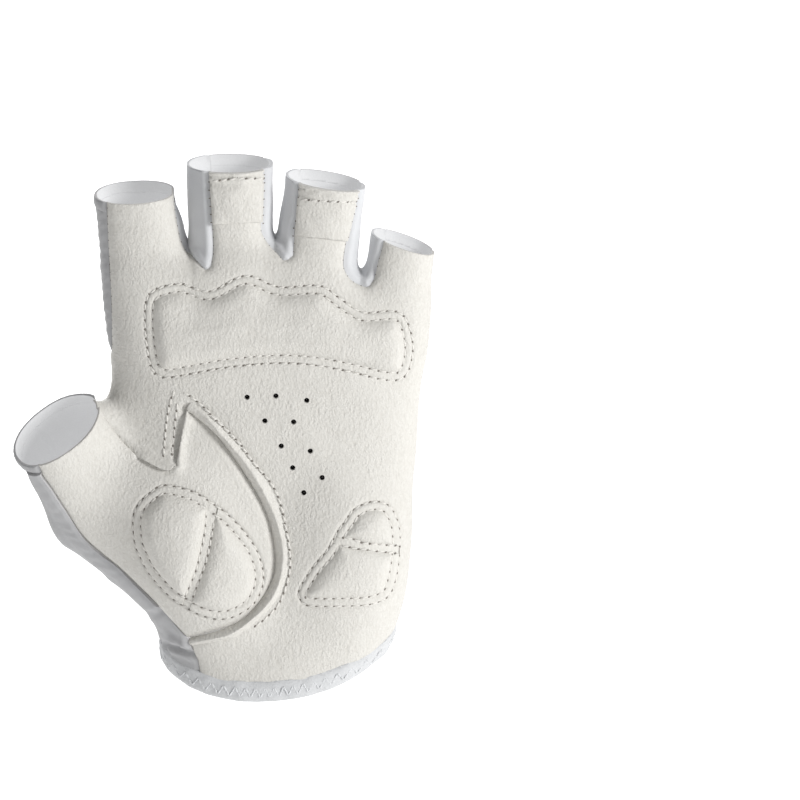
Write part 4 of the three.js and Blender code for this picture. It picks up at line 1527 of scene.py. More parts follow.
class PadPlan:
    """Where the pads lie on the palm."""

    knuckle = Line((
        (-36.4, 88.2), (-37, 95.7), (-36.5, 101.8), (-33.8, 104.9), (-26.7, 106.5), (-18.6, 104.4),
        (-10.4, 108.2), (-5.8, 108.5), (1.7, 105.6), (13.3, 105.9), (19.9, 101.8), (25.8, 98.3),
        (34.8, 98.6), (38.6, 95.5), (40.2, 88), (38.4, 80.6), (33, 78.8), (20.9, 81.5), (11, 83.2),
        (0.6, 83.7), (-13.2, 82.5), (-24.1, 80.6), (-31.4, 79.6), (-34.9, 82),
    ), True)
    thenar = Line((
        (-31.3, 48.4), (-35.1, 46.7), (-38.9, 43.2), (-40.6, 38.9), (-40.3, 31.9), (-38.6, 27.3),
        (-36.5, 23.2), (-33.4, 19.4), (-30.2, 16.2), (-26.1, 13.3), (-22.3, 11.2), (-17.4, 9.7),
        (-13.1, 9.9), (-9.4, 11.4), (-5.8, 14.2), (-3.5, 18.6), (-3.2, 23.5), (-4.6, 28.7), (-7, 32.8),
        (-10.7, 37.4), (-14.8, 41.2), (-19.1, 44.1), (-23.8, 46.7),
    ), True)
    heel = Line((
        (23.2, 41.4), (20.9, 38.3), (18.6, 35.2), (15.4, 29.6), (11.9, 25.5), (9.6, 22.2), (7.5, 18.6),
        (7.3, 16.2), (9.9, 13.6), (20.4, 13.4), (28, 13.9), (33.2, 16.2), (35.6, 22), (36.6, 30),
        (36.2, 37), (33.4, 42.4), (28.4, 43.6),
    ), True)
    thenar_split_outer = Line(((-19.4, 42.1), (-20, 34.8), (-21.8, 26.4), (-23.3, 21.8), (-25.8, 16.2)))
    thenar_split_inner = Line(((-17.1, 38.1), (-18.2, 32.4), (-19.1, 28.1), (-20.6, 23.2), (-23.3, 16.2)))
    heel_split_upper = Line(((20.6, 33.2), (23.2, 32.8), (25.5, 31.9), (29.9, 31.3), (35, 31)))
    heel_split_lower = Line(((19.4, 31.2), (23.5, 30.2), (26, 29.9), (29.3, 29.4), (35, 28.7)))
    groups = (knuckle, thenar, heel)
    splits = (thenar_split_outer, thenar_split_inner, heel_split_upper, heel_split_lower)

    def halves(self, split: Line, sign: float, reach: float, upright: bool) -> Array:
        """The part of a group on one side of its divider, as an outline.

        Args:
            split: the divider's row on that side.
            sign: which side is kept.
            reach: how far the outline is carried past the group.
            upright: whether the divider runs up rather than across.

        Returns:
            An outline that the group is cut with.
        """
        row = split.points()
        way = unit(row[-1] - row[0]) * reach
        row = np.concatenate([[row[0] - way], row, [row[-1] + way]])
        away = np.array([sign * reach, 0]) if upright else np.array([0, sign * reach])
        return np.concatenate([row, row[::-1][[0, -1]] + away])


PLAN = PadPlan()


@dataclass
class LeatherPalm:
    """The palm and thumb leather with its pads, welt, tabs and vents."""

    skin: Skin
    wardrobe: Wardrobe
    relief: Relief = field(default_factory=Relief)
    row_gap: float = 2.3
    pad_rise: float = 4.6
    vent_radius: float = 0.74
    seam_dip: float = 0.5

    def pad_cuts(self) -> tuple[tuple[str, Line, Array | None, float], ...]:
        """Each pad's name, the group that it is sewn in, the outline that parts it and its height."""
        thenar, heel = PLAN.thenar, PLAN.heel
        return (
            ("knuckle_pad", PLAN.knuckle, None, 1.9),
            ("thenar_pad_outer", thenar, PLAN.halves(PLAN.thenar_split_outer, -1, 30, True), 2.0),
            ("thenar_pad_inner", thenar, PLAN.halves(PLAN.thenar_split_inner, 1, 30, True), 1.9),
            ("heel_pad_upper", heel, PLAN.halves(PLAN.heel_split_upper, 1, 30, False), 1.7),
            ("heel_pad_lower", heel, PLAN.halves(PLAN.heel_split_lower, -1, 30, False), 1.8),
        )

    def under_pads(self, flat: Array, offset: Array) -> Array:
        """Sinks the leather where a pad covers it and along the pads' stitch rows.

        Args:
            flat: the leather's places on the sheet.
            offset: how far it stands above the skin.

        Returns:
            The changed heights.
        """
        furrow, sunk = -0.22, -0.75
        for _, group, cut, _ in self.pad_cuts():
            depth = -distances(flat, group.points(), True)
            own = depth if cut is None else np.minimum(depth, -distances(flat, cut, True))
            inside = ramp(own, 0.0, 0.5)
            offset = offset + furrow * bell(depth, 0.55) * (1 - inside)
            offset = offset * (1 - inside) + sunk * inside
        return offset

    def seam_form(self, patch: Patch, uneven: Array) -> tuple[Array, ...]:
        """The form that palm and thumb leather share, sunk along their plain seams.

        Args:
            patch: its part of the skin.
            uneven: its unevenness.

        Returns:
            Heights, and distances from the thumb arc, the flap, the crotch and the web.
        """
        flat = on_sheet(patch.points)
        lines = (SEAMS.arc, SEAMS.flap, SEAMS.crotch, SEAMS.web)
        gaps = [distances(flat, line.points()) for line in lines]
        dip = -self.seam_dip * bell(patch.edge, 0.5) * ramp(np.minimum.reduce(gaps), 0.5, 2.5)
        return dip + uneven, *gaps

    def palm(self) -> Piece:
        """The palm panel, with the palm side of the four fingers.

        Returns:
            The piece.
        """
        patch = self.skin.cut(self.skin.palm_only)
        for vent in VENTS:
            gap = self.vent_radius - np.linalg.norm(on_sheet(patch.points) - vent, axis=1)
            patch = patch.clip(np.where(patch.points[:, 1] < 0, gap, -5))
        flat = on_sheet(patch.points)
        uneven, crown, arc_dip, flap_dip, lip, web_dip = 0.12, 0.16, 0.9, 0.6, 0.9, 0.9
        crease, thumb_corner = 0.1, np.array([(-46.0, 62), (-34, 58)])
        wrinkle, flap_corner = 0.12, np.array([(-30.0, 58), (-27.5, 56)])
        uneven = uneven * waves(patch.points, 16, SEED)
        offset, to_arc, to_flap, to_crotch, to_web = self.seam_form(patch, uneven)
        offset += crown * ramp(patch.edge, 0.6, 2.2)
        offset -= arc_dip * bell(to_arc, 1.6) + flap_dip * bell(to_flap, 1.3)
        offset += lip * bell(to_crotch, 1.8) * ramp(flat[:, 0], -43, -36)
        offset -= web_dip * bell(to_web, 2.2)
        creases = np.sin(flat @ np.array([0.9, 1.5]) * 1.3 + waves(patch.points, 9, SEED + 2))
        offset += crease * creases * bell(distances(flat, thumb_corner), 6)
        wrinkles = np.sin(flat @ np.array([1.6, -1.0]) * 1.5 + waves(patch.points, 7, SEED + 3))
        offset += wrinkle * wrinkles * bell(distances(flat, flap_corner), 3)
        return self.panel("palm_panel", patch, self.under_pads(flat, offset))

    def thumb(self) -> Piece:
        """The thumb panel, whose pointed flap lies over the palm.

        Returns:
            The piece.
        """
        patch = self.skin.cut(self.skin.thumb)
        flat = on_sheet(patch.points)
        uneven, flap_rise, edge_dip, arc_dip, arc_groove = 0.14, 1.25, 0.5, 1.1, 0.3
        uneven = uneven * waves(patch.points, 15, SEED + 1)
        offset, to_arc, to_flap, to_crotch, _ = self.seam_form(patch, uneven)
        offset += flap_rise * bell(np.maximum(to_flap - 0.5, 0), 1.5) * ramp(to_arc, 0.2, 2.0)
        offset -= edge_dip * bell(to_flap, 0.35)
        offset -= (arc_dip * bell(to_arc, 1.3) + arc_groove * bell(to_arc, 0.5)) * ramp(to_flap, 0.0, 1.2)
        offset -= edge_dip * bell(to_crotch, 1.0)
        return self.panel("thumb_panel", patch, self.under_pads(flat, offset))

    def panel(self, node: str, patch: Patch, offset: Array) -> Piece:
        """Makes a leather panel from its patch.

        Args:
            node: its solid.
            patch: its part of the skin.
            offset: how far it stands above the skin.

        Returns:
            The piece.
        """
        self.relief.add(patch.points, offset)
        finishes = self.wardrobe
        under = inner_side(patch.points, offset)
        made = shell(f"{node}_dressed", patch, offset, under, finishes.leather, finishes.lining,
                     finishes.suede)
        return ride(made, Finish.LEATHER, node)

    def pads(self) -> list[Piece]:
        """The five pads, each a closed form that swells from its stitched edge.

        Returns:
            The pads.
        """
        made = []
        net = self.skin.net
        flat = on_sheet(net.points)
        front = net.points[:, 1] < 0
        for name, group, cut, height in self.pad_cuts():
            low, high = group.points().min(axis=0) - 2, group.points().max(axis=0) + 2
            whole = net.near(front & (flat > low).all(axis=1) & (flat < high).all(axis=1))
            places = on_sheet(whole.points)
            inside = distances(places, group.points(), True)
            if cut is not None:
                inside = np.maximum(inside, distances(places, cut, True))
            made.append(self.swell(name, whole.clip(inside), group, cut, height))
        return made

    def swell(self, node: str, patch: Patch, group: Line, cut: Array | None, height: float) -> Piece:
        """Makes one pad.

        Args:
            node: the pad's solid.
            patch: the skin under it.
            group: the outline of the group that it is sewn in.
            cut: the outline that parts it from its neighbour, if it has one.
            height: how far it stands up.

        Returns:
            The pad, closed, with its underside on the palm.
        """
        flat = on_sheet(patch.points)
        depth = -distances(flat, group.points(), True)
        start = depth - self.row_gap
        if cut is not None:
            start = np.minimum(start, -distances(flat, cut, True))
        share = np.clip(start / self.pad_rise, 0, 1)
        dome, roundness, border, proud, furrow, uneven, tucked = 0.3, 2.2, 0.17, 0.1, 0.2, 0.1, 0.26
        rise = height * (1 - np.power(1 - share, roundness)) + dome * height * ramp(start, 3, 14)
        half = self.row_gap / 2
        puff = border * np.clip(1 - np.square((depth - half) / half), 0, 1)
        top = rise + puff + proud * ramp(depth, 0, 0.5) - furrow * bell(start, 0.5)
        top += uneven * waves(patch.points, 9, SEED + 2) * share
        top -= tucked * (1 - ramp(depth, 0, 0.45))
        self.relief.add(patch.points, top)
        leather = self.wardrobe.leather
        pad = shell(f"{node}_dressed", patch, top, np.minimum(top - 0.15, -0.5), leather, leather)
        return ride(pad, Finish.LEATHER, node)

    def welt(self) -> Piece:
        """The folded edge along the thumb arc, swept with one profile.

        Returns:
            The piece.
        """
        count = 120
        inner, outer = (self.even(line.points(), count) for line in (SEAMS.arc, SEAMS.welt_outer))
        profile = (
            (-0.14, -1.2), (-0.04, -0.7), (0.08, 0.0), (0.4, 0.75), (0.68, 1.3), (0.84, 1.52), (0.96, 1.58),
            (1.12, 1.5), (1.42, 1.2), (1.8, 0.8), (2.15, 0.42), (2.5, 0.14), (2.8, -0.05), (3.0, -0.35),
        )
        across = unit(outer - inner)
        width = np.linalg.norm(outer - inner, axis=1)
        fade = faded(count, 14)
        rings = []
        for share, lift in profile:
            inside = np.minimum(share, 1) * width
            outside = np.maximum(share - 1, 0) * 1.35 * (0.45 + 0.55 * fade)
            places = inner + across * (inside + outside)[:, None]
            skin = on_palm(places)
            up = unit(HAND.slope(skin))
            ripple = 0.05 * np.sin(np.arange(count) * 0.9 + share)
            rise = np.where(lift > 0, lift * (0.3 + 0.7 * fade) + ripple * fade, lift)
            rings.append(skin + up * rise[:, None])
            self.relief.add(skin, rise)
        points, faces = np.stack(rings, axis=1).reshape(-1, 3), net_faces(count, len(profile))
        made = mesh_object("thumb_welt_dressed", points, faces, [self.wardrobe.leather])
        self.face_out(made)
        with_modifier(made, "SUBSURF", levels=1, render_levels=1)
        with_modifier(made, "SOLIDIFY", thickness=0.5 * MM, offset=-1, use_rim=True)
        return ride(made, Finish.LEATHER, "thumb_welt")

    @staticmethod
    def even(points: Array, count: int) -> Array:
        """The same line in even steps from end to end."""
        along = np.concatenate([[0], np.cumsum(np.linalg.norm(np.diff(points, axis=0), axis=1))])
        marks = np.linspace(0, along[-1], count)
        return np.stack([np.interp(marks, along, points[:, k]) for k in range(2)], axis=1)

    @staticmethod
    def face_out(made: Piece) -> None:
        """Turns a sheet over if it looks inwards, judged by the skin under it."""
        face = made.data.polygons[len(made.data.polygons) // 2]
        centre = np.array([face.center[:]]) / MM
        if float(np.dot(HAND.slope(centre)[0], np.array(face.normal[:]))) < 0:
            made.data.flip_normals()

    def tabs(self) -> list[Piece]:
        """The two pull tabs at the middle and ring fingers.

        Returns:
            The tabs.
        """
        made = []
        tabs = (
            ("pull_tab_middle", FINGERS[1], (
                (-18.3, 160), (-18.3, 139.3), (-17.2, 123.6), (-3.4, 124.4), (-2.9, 138.3), (-2.9, 160))),
            ("pull_tab_ring", FINGERS[2], (
                (7.7, 155), (7.6, 134.4), (6.5, 120.6), (21.2, 118.9), (24.4, 132.8), (28, 155))),
        )
        net, below, beside = self.skin.net, 32, 16
        leather, suede = self.wardrobe.leather, self.wardrobe.suede
        for name, finger, outline in tabs:
            close = (finger.past(net.points) > -below) & (np.abs(net.points[:, 0] - finger.rim[0]) < beside)
            whole = net.near(close & (net.points[:, 1] < 0))
            line = np.array(outline, float)
            outside = distances(on_sheet(whole.points), line, True)
            patch = whole.clip(np.maximum(outside, whole.points[:, 1] - 1))
            inside = -distances(on_sheet(patch.points), line, True)
            below_rim = -finger.past(patch.points)
            offset = 0.6 + 0.4 * ramp(inside, 0, 0.7)
            offset -= 0.4 * bell(below_rim - 3.4, 0.5) + 0.45 * bell(below_rim - 1.1, 0.35)
            offset += 0.14 * waves(patch.points, 6, SEED + 4)
            self.relief.add(patch.points, offset)
            tab = shell(f"{name}_dressed", patch, offset, -0.1, leather, leather, suede)
            made.append(ride(tab, Finish.LEATHER, name))
        return made

    def vent_shades(self) -> Piece:
        """Near-black walls and bottoms in the vent holes, painted shade in place of the glove's inside.

        Returns:
            The piece.
        """
        sides = 20
        skin = on_palm(VENTS)
        level = self.relief.height(skin)
        angles = np.arange(sides) * 2 * math.pi / sides
        rings = ((0.05, 0.93), (-0.02, 1.0), (-1.2, 1.0), (-1.3, 0.05))
        points, faces = [], []
        for k, centre in enumerate(skin):
            up = unit(HAND.slope(skin[k:k + 1]))[0]
            right = unit(np.cross(up, [0.0, 0, 1]))
            top = np.cross(right, up)
            circle = np.outer(np.cos(angles), right) + np.outer(np.sin(angles), top)
            for lift, share in rings:
                points.append(centre + up * (lift + level[k]) + circle * (self.vent_radius + 0.04) * share)
            inwards = net_faces(len(rings), sides, closed=True)[:, [0, 3, 2, 1]]
            faces.append(inwards + k * sides * len(rings))
        made = mesh_object("vent_shades", np.concatenate(points), np.concatenate(faces), [self.wardrobe.painted_hole_shade])
        return ride(made, Finish.LEATHER)

    def sew(self) -> list[Piece]:
        """All the stitch rows of the palm.

        Returns:
            The thread and the needle holes.
        """
        sewing = Sewing(self.wardrobe, self.relief)
        for group in PLAN.groups:
            line = group.points()
            sewing.row(line, True)
            sewing.row(self.inset(line, self.row_gap), True, self.clear_of_splits(group))
        for split, group in zip(PLAN.splits, (PLAN.thenar, PLAN.thenar, PLAN.heel, PLAN.heel)):
            inside = lambda places, g=group: distances(places, g.points(), True) < -self.row_gap * 0.7
            sewing.row(split.points(), False, inside)
        rows = (
            Line(((-28.4, 76.1), (-29.6, 73.1), (-30.7, 68.2), (-31.3, 63.1), (-31.8, 57))),
            Line(((-27.6, 72.5), (-28.4, 67), (-29.3, 57.4))),
            Line(((-26.4, 75.5), (-24, 74.1), (-19.8, 70.8), (-17.4, 68.4), (-10.2, 61.2), (-5.7, 55.1),
                  (-0.1, 47.9), (2.9, 39.4), (4.9, 26.4), (2.3, 16), (-1.5, 10.8), (-5.5, 7.6))),
        )
        for line in rows:
            sewing.row(line.points())
        for line in (((-17.6, 136.1), (-10, 136.9), (-3.2, 136.9)), ((8, 131), (14.5, 130.4), (23.8, 130.3))):
            sewing.row(Line(line).points())
        seams = (SEAMS.index_outer, SEAMS.index_inner, SEAMS.middle_outer, SEAMS.middle_inner,
                 SEAMS.ring_outer, SEAMS.ring_inner, SEAMS.little_outer, SEAMS.thumb_side)
        for seam in seams:
            self.prick(sewing, seam.points())
        return sewing.build("palm", Finish.LEATHER)

    def prick(self, sewing: Sewing, line: Array) -> None:
        """Small needle marks across a seam.

        Args:
            sewing: takes the marks.
            line: the seam on the sheet.
        """
        pitch, size = 2.3, (0.55, 0.2, 0.1)
        places, runs = spaced(line, pitch, False)
        skin = on_palm(places)
        kept = (past_ends(skin) < -0.6) & (skin[:, 1] < MID_DEPTH)
        skin, ahead = skin[kept], on_palm(places[kept] + runs[kept] * 0.4)
        if not len(skin):
            return
        up = unit(HAND.slope(skin))
        across = np.cross(up, unit(ahead - skin))
        level = self.relief.height(skin)[:, None]
        sewing.lay(skin + across * 0.25 + up * (level + 0.03), across, up, size, sewing.holes)

    @staticmethod
    def clear_of_splits(group: Line) -> Test | None:
        """A test that is false between the two rows of a group's divider.

        Args:
            group: the outline of the pads.

        Returns:
            The test, or none without a divider.
        """
        pairs = {
            PLAN.thenar: (PLAN.thenar_split_outer, PLAN.thenar_split_inner),
            PLAN.heel: (PLAN.heel_split_upper, PLAN.heel_split_lower),
        }
        if group not in pairs:
            return None
        upper, lower = (line.points() for line in pairs[group])
        corridor = np.concatenate([upper, lower[::-1]])
        return lambda places: distances(places, corridor, True) > 0.4

    @staticmethod
    def inset(line: Array, gap: float) -> Array:
        """An outline moved inwards.

        Args:
            line: the outline.
            gap: how far inwards.

        Returns:
            The points that keep clear of it.
        """
        ahead, behind = np.roll(line, -1, axis=0), np.roll(line, 1, axis=0)
        run = unit(ahead - behind)
        side = np.stack([-run[:, 1], run[:, 0]], axis=1)
        area = np.sum(line[:, 0] * ahead[:, 1] - ahead[:, 0] * line[:, 1])
        moved = line + side * gap * np.sign(area)
        keep = -distances(moved, line, True) > gap * 0.93
        return moved[keep]

    def build(self) -> None:
        """Makes every piece of the palm."""
        palm, thumb, pads = self.palm(), self.thumb(), self.pads()
        welt, tabs, vents = self.welt(), self.tabs(), self.vent_shades()
        stitching = self.sew()
        report(palm, thumb, *pads, welt, *tabs, vents, *stitching)


@dataclass
class ClothBack:
    """The knit back with its ribs and hems, and the stretch panels between the fingers."""

    skin: Skin
    wardrobe: Wardrobe
    relief: Relief = field(default_factory=Relief)

    def back(self) -> Patch:
        """The skin of the back, hems and all."""
        others = np.minimum.reduce([self.skin.palm_only, self.skin.thumb, *self.skin.crotches.values()])
        return self.skin.cut(-others)

    def knit(self, node: str, patch: Patch, offset: Array) -> Piece:
        """Makes one knit piece from its patch.

        Args:
            node: its solid.
            patch: its part of the skin.
            offset: how far it stands above the skin.

        Returns:
            The piece.
        """
        under = inner_side(patch.points, offset)
        made = shell(f"{node}_dressed", patch, offset, under, self.wardrobe.knit, self.wardrobe.lining)
        lay_knit(made)
        return ride(made, Finish.KNIT, node)

    def panel(self, patch: Patch) -> Piece:
        """The back panel below its hems.

        Args:
            patch: the skin of the back.

        Returns:
            The piece.
        """
        patch = patch.clip(past_ends(patch.points) + HEM_HEIGHT)
        flat = on_sheet(patch.points)
        along = distances(flat, SEAMS.thumb_side.points())
        seam_dip, uneven, shelf_rise, slack_rise = 0.45, 0.22, 0.85, 3.2
        pucker_rise, crumple_rise = 0.14, 0.25
        slack_middle, slack_size = np.array([-62, 35]), np.array([8.5, 10.5])
        offset = -seam_dip * bell(patch.edge, 0.6) + uneven * waves(patch.points, 14, SEED + 5)
        x, up = flat.T
        front = ramp(-patch.points[:, 1], -9, -4)
        shelf = ramp(-along, -3.9, -2.8) - 0.8 * bell(along - 5.0, 1.2)
        offset += shelf_rise * shelf * ramp(-x, 27, 31) * front * ramp(up, 6, 14)
        slack = np.linalg.norm((flat - slack_middle) / slack_size, axis=1)
        offset += slack_rise * bell(slack, 1) * ramp(along, 2.6, 5.2) * ramp(-patch.points[:, 1], -15, -4)
        pucker = np.sin(flat[:, 1] * 2.1 + waves(patch.points, 10, SEED + 6) * 1.2)
        beside_thumb = bell(patch.points[:, 0] + 55, 14)
        offset += pucker_rise * pucker * bell(patch.edge - 1.6, 1.5) * beside_thumb
        below = up - 2.8 + 0.33 * (x + 27.6)
        fold = 1.3 * bell(below, 1.2) - 1.2 * bell(below + 2.0, 0.75) + 0.5 * bell(below + 3.6, 0.8)
        beside_band = distances(flat, CRUMPLE[1])
        fold = fold - 0.8 * bell(beside_band, 0.5) + 0.4 * bell(beside_band - 1.4, 0.7)
        offset += fold * bell(x + 28, 5.5) * front * bell(up, 7)
        crumple = np.sin(flat @ np.array([1.0, 0.5]) * 1.7 + 1.5 * waves(patch.points, 8, SEED + 7))
        offset += crumple_rise * crumple * bell(up - 5, 8) * bell(x + 28, 8)
        self.relief.add(patch.points, offset)
        return self.knit("back_panel", patch, offset)

    def hems(self, patch: Patch) -> list[Piece]:
        """The turned hems at the ends of the fingers and thumb.

        Args:
            patch: the skin of the back.

        Returns:
            The hems.
        """
        made = []
        past = past_ends(patch.points)
        rim = patch.near(past > -HEM_HEIGHT - 2)
        thumb_reach, thumb_end, half = 18, 100, HEM_HEIGHT / 2
        _, beside = HAND.by_thumb(rim.points)
        thumb = (beside < thumb_reach) & (rim.points[:, 2] < thumb_end)
        number = np.where(thumb, len(FINGERS), nearest_finger(rim.points))
        for place, name in enumerate([*(finger.name for finger in FINGERS), "thumb"]):
            own = rim.near(number == place)
            hem = own.clip(-HEM_HEIGHT - past_ends(own.points))
            depth = -past_ends(hem.points)
            roll = np.sqrt(np.clip(1 - np.square((depth - half) / half), 0, 1))
            offset = 0.05 + 0.4 * roll * ramp(hem.edge, 0, 1.5) - 0.35 * bell(hem.edge, 0.4)
            made.append(self.knit(f"hem_{name}", hem, offset))
        return made

    def side_panels(self) -> list[Piece]:
        """The smooth stretch panels between the fingers.

        Returns:
            The panels.
        """
        made = []
        seam_dip, crown, ridge, uneven = 0.5, 0.1, 0.35, 0.12
        stretch, lining = self.wardrobe.stretch, self.wardrobe.lining
        for name, values in self.skin.crotches.items():
            patch = self.skin.cut(values)
            offset = -seam_dip * bell(patch.edge, 0.6) + crown * ramp(patch.edge, 0.5, 3)
            offset += ridge * bell(patch.edge - 1.5, 0.8)
            offset += uneven * waves(patch.points, 11, SEED + 8)
            under = inner_side(patch.points, offset)
            panel = shell(f"{name}_dressed", patch, offset, under, stretch, lining)
            made.append(ride(panel, Finish.STRETCH, name))
        return made

    def ribs(self) -> Piece:
        """The raised ribs, each a low round cord along the back.

        Returns:
            The piece.
        """
        profile = [(math.cos(a), math.sin(a)) for a in np.linspace(0, math.pi, 7)]
        points, faces, start, fewest, sunk = [], [], 0, 6, 0.3
        for path in RIBS.paths():
            path = path[self.on_back(path)]
            if len(path) < fewest:
                continue
            up = unit(HAND.slope(path))
            along = unit(np.gradient(path, axis=0))
            side = unit(np.cross(along, up))
            ends = faded(len(path), 4)
            level = np.pad(self.relief.height(path, 2.0), 2, mode="edge")
            level = np.convolve(level, np.ones(5) / 5, "valid")
            for across, lift in profile:
                rise = level - sunk + lift * (RIBS.height + 0.2) * ends
                points.append(path + (side * (across * RIBS.width / 2) + up * rise[:, None]))
            faces.append(net_faces(len(profile), len(path)) + start)
            start += len(path) * len(profile)
        made = mesh_object("back_ribs", np.concatenate(points), np.concatenate(faces), [self.wardrobe.rib])
        LeatherPalm.face_out(made)
        return ride(made, Finish.KNIT)

    def on_back(self, path: Array) -> Array:
        """Whether points lie on the back panel, clear of hems, band and side panels.

        Args:
            path: points of the skin.

        Returns:
            One answer for each point.
        """
        flat = on_sheet(path)
        clear = past_ends(path) < -HEM_HEIGHT - 0.4
        clear &= path[:, 2] > wrist_edge(path[:, 0], path[:, 1]) + BAND_HEIGHT + 0.3
        clear &= unit(HAND.slope(path))[:, 1] > 0.2
        for outline in SEAMS.crotches().values():
            clear &= distances(flat, outline, True) > 0.6
        return clear

    def overcast(self) -> list[Piece]:
        """Slanted stitches over the hems.

        Returns:
            The stitches.
        """
        sewing = Sewing(self.wardrobe, Relief())
        for finger in FINGERS:
            self.overcast_ring(sewing, np.array(finger.rim), finger.normal(), np.array([1.0, 0, 0]), 12)
        self.overcast_ring(sewing, HAND.thumb_rim, HAND.thumb_along, HAND.thumb_across, 14)
        return sewing.build("hem", Finish.KNIT, True)

    @staticmethod
    def overcast_ring(sewing: Sewing, rim: Array, normal: Array, across: Array, size: float) -> None:
        """One open end's slanted stitches, on its cloth side.

        Args:
            sewing: takes the stitches.
            rim: the middle of the open end.
            normal: where it looks.
            across: the direction of its width.
            size: about half its width.
        """
        pitch, around, slant, lift, stitch = 1.5, 0.88, 0.55, 0.4, (2.2, 0.18, 0.14)
        deep = unit(np.cross(normal, across))
        if deep[1] < 0:
            deep = -deep
        across = unit(np.cross(deep, normal))
        count = int(2 * math.pi * size * around / pitch)
        angles = np.arange(count) * 2 * math.pi / count
        middle = np.tile(rim - normal * HEM_HEIGHT * 0.5, (count, 1))
        out = np.outer(np.cos(angles), across) + np.outer(np.sin(angles), deep)
        skin = HAND.reach(middle, -out, size + 3)
        flat = on_sheet(skin)
        middle_zone = skin[:, 1] > MID_DEPTH + 0.6
        for outline in SEAMS.crotches().values():
            middle_zone &= distances(flat, outline, True) > 0.8
        if size > 13:
            middle_zone = (skin - HAND.thumb_rim) @ HAND.thumb_deep > 0.8
        from_middle = np.linalg.norm(skin - middle, axis=1)
        skin = skin[middle_zone & (from_middle < size + 2) & (from_middle > size * 0.5)]
        up = unit(HAND.slope(skin))
        ahead = np.tile(normal, (len(skin), 1))
        sewing.lay(skin + up * lift, ahead + slant * np.cross(up, ahead), up, stitch, sewing.stitches)

    def build(self) -> None:
        """Makes every piece of the back."""
        patch = self.back()
        back, hems, sides = self.panel(patch), self.hems(patch), self.side_panels()
        ribs, stitching = self.ribs(), self.overcast()
        for made, node in zip(sides, self.skin.crotches):
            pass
        report(back, *hems, *sides, ribs, *stitching)


@dataclass
class WristBand:
    """The elastic band round the wrist and its zigzag stitching."""

    skin: Skin
    wardrobe: Wardrobe
    proud: float = 0.5

    def band(self) -> Piece:
        """The band itself, round at both edges.

        Returns:
            The piece.
        """
        net = self.skin.net
        values = self.skin.band
        whole = net.near((values < 2) & (values > -BAND_HEIGHT - 2))
        height = lambda p: p[:, 2] - wrist_edge(p[:, 0], p[:, 1])
        patch = whole.clip(height(whole.points) - BAND_HEIGHT)
        patch = patch.clip(-height(patch.points))
        level = height(patch.points)
        edge = np.minimum(level, BAND_HEIGHT - level)
        offset = self.proud * (0.1 + 0.9 * ramp(edge, 0, 0.9)) + 0.25 * bell(level - BAND_HEIGHT / 2, 2)
        offset += 0.16 * waves(patch.points, 5, SEED + 9)
        made = shell("wrist_band_dressed", patch, offset, -1.3, self.wardrobe.elastic, self.wardrobe.lining)
        return ride(made, Finish.ELASTIC, "wrist_band")

    def zigzag(self) -> list[Piece]:
        """The zigzag row on the band.

        Returns:
            The stitches.
        """
        sewing = Sewing(self.wardrobe, Relief())
        legs, low, high, share_of_leg, half_width, half_height, lift = 92, 1.5, 4.4, 0.46, 0.3, 0.24, 0.2
        angles = np.arange(legs) * 2 * math.pi / legs
        out = np.stack([np.cos(angles), np.sin(angles), np.zeros(legs)], axis=1)
        base = HAND.reach(np.zeros((legs, 3)), -out, 60)
        level = np.where(np.arange(legs) % 2 == 0, low, high) + wrist_edge(base[:, 0], base[:, 1])
        start = np.stack([np.zeros(legs), np.zeros(legs), level], axis=1)
        knots = HAND.reach(start, -out, 60)
        following = np.roll(knots, -1, axis=0)
        for share in (0.27, 0.73):
            middle = knots * (1 - share) + following * share
            up = unit(HAND.slope(middle))
            run = following - knots
            length = float(np.median(np.linalg.norm(run, axis=1))) * share_of_leg
            size = (length, half_width, half_height)
            sewing.lay(middle + up * (self.proud + lift), run, up, size, sewing.stitches)
        return sewing.build("band", Finish.ELASTIC, True)

    def build(self) -> None:
        """Makes the band and its stitching."""
        band, stitching = self.band(), self.zigzag()
        report(band, *stitching)


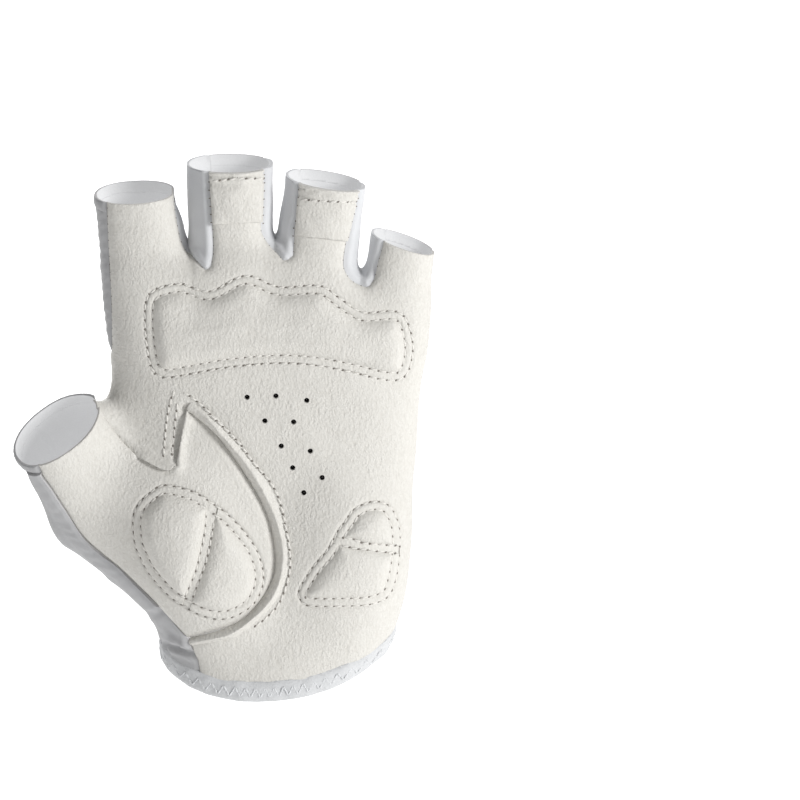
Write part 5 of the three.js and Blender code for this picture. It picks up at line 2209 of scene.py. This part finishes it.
@dataclass
class Studio:
    """Pale floor and backdrop, soft lights, and the camera at the photograph's angle."""

    distance: float = 3.2
    lens: float = 493.5
    sensor: float = 36.0
    across: float = 36.5
    up: float = 73.1
    sky: float = 0.3

    def build(self) -> None:
        """Makes the whole studio."""
        self.camera()
        self.ground()
        self.light("key", (1.22, -0.78, 0.58), 0.5, 19.0)
        self.light("back", (-0.5, 1.1, 0.6), 0.8, 12.0)
        world = bpy.data.worlds.new("studio")
        world.use_nodes = True
        sky = world.node_tree.nodes["Background"]
        sky.inputs["Color"].default_value = (0.98, 0.99, 1, 1)
        sky.inputs["Strength"].default_value = self.sky
        bpy.context.scene.world = world
        bpy.context.scene.view_settings.view_transform = "Standard"

    def camera(self) -> None:
        """The camera, which looks along the leaning sheet's own direction."""
        data = bpy.data.cameras.new("camera")
        data.lens, data.sensor_width, data.clip_end = self.lens, self.sensor, 20
        made = bpy.data.objects.new("camera", data)
        target = np.array([self.across, 0, 0]) + SHEET_UP * self.up
        made.location = Vector((target * MM + SHEET_OUT * self.distance).tolist())
        made.rotation_euler = (math.pi / 2 - SHEET_LEAN, 0, 0)
        bpy.context.scene.collection.objects.link(made)
        bpy.context.scene.camera = made

    def ground(self) -> None:
        """A floor that curves up into the backdrop."""
        width, floor, front, back, wall, bend, steps = 14.0, -0.16, -7.0, 5.5, 5.0, 1.5, 16
        line = [(front, floor), (back - bend, floor)]
        for k in range(1, steps + 1):
            a = math.pi / 2 * k / steps
            line.append((back - bend + bend * math.sin(a), floor + bend - bend * math.cos(a)))
        line.append((back, wall))
        points = [(x * width / 2 / MM, y / MM, z / MM) for y, z in line for x in (-1, 1)]
        sketch = NodeSketch("pale_floor")
        sketch.shader.inputs["Emission Color"].default_value = (1, 1, 1, 1)
        sketch.shader.inputs["Emission Strength"].default_value = 0.4
        material = sketch.finish((0.93, 0.93, 0.93, 1), 0.9, None, 0.1)
        made = mesh_object("floor", np.array(points), net_faces(len(line), 2), [material])

    @staticmethod
    def light(name: str, place: Triple, size: float, power: float) -> None:
        """An area light that looks at the glove.

        Args:
            name: the light's name.
            place: where it stands, in metres.
            size: the width of its face.
            power: its strength in watts.
        """
        data = bpy.data.lights.new(name, "AREA")
        data.shape, data.size, data.energy = "DISK", size, power
        made = bpy.data.objects.new(name, data)
        made.location = place
        aim = Vector((0, 0, 0.07)) - Vector(place)
        made.rotation_euler = aim.to_track_quat("-Z", "Y").to_euler()
        bpy.context.scene.collection.objects.link(made)


def main() -> None:
    """Sets up the studio, then builds the glove piece by piece."""
    logging.basicConfig(level=logging.INFO, format="%(name)s: %(message)s")
    wardrobe = Wardrobe()
    Studio().build()
    skin = Skin(NET_CELL)
    LOG.info("skin: %d triangles", len(skin.net.faces))
    LeatherPalm(skin, wardrobe).build()
    ClothBack(skin, wardrobe).build()
    WristBand(skin, wardrobe).build()


if __name__ == "__main__":
    main()
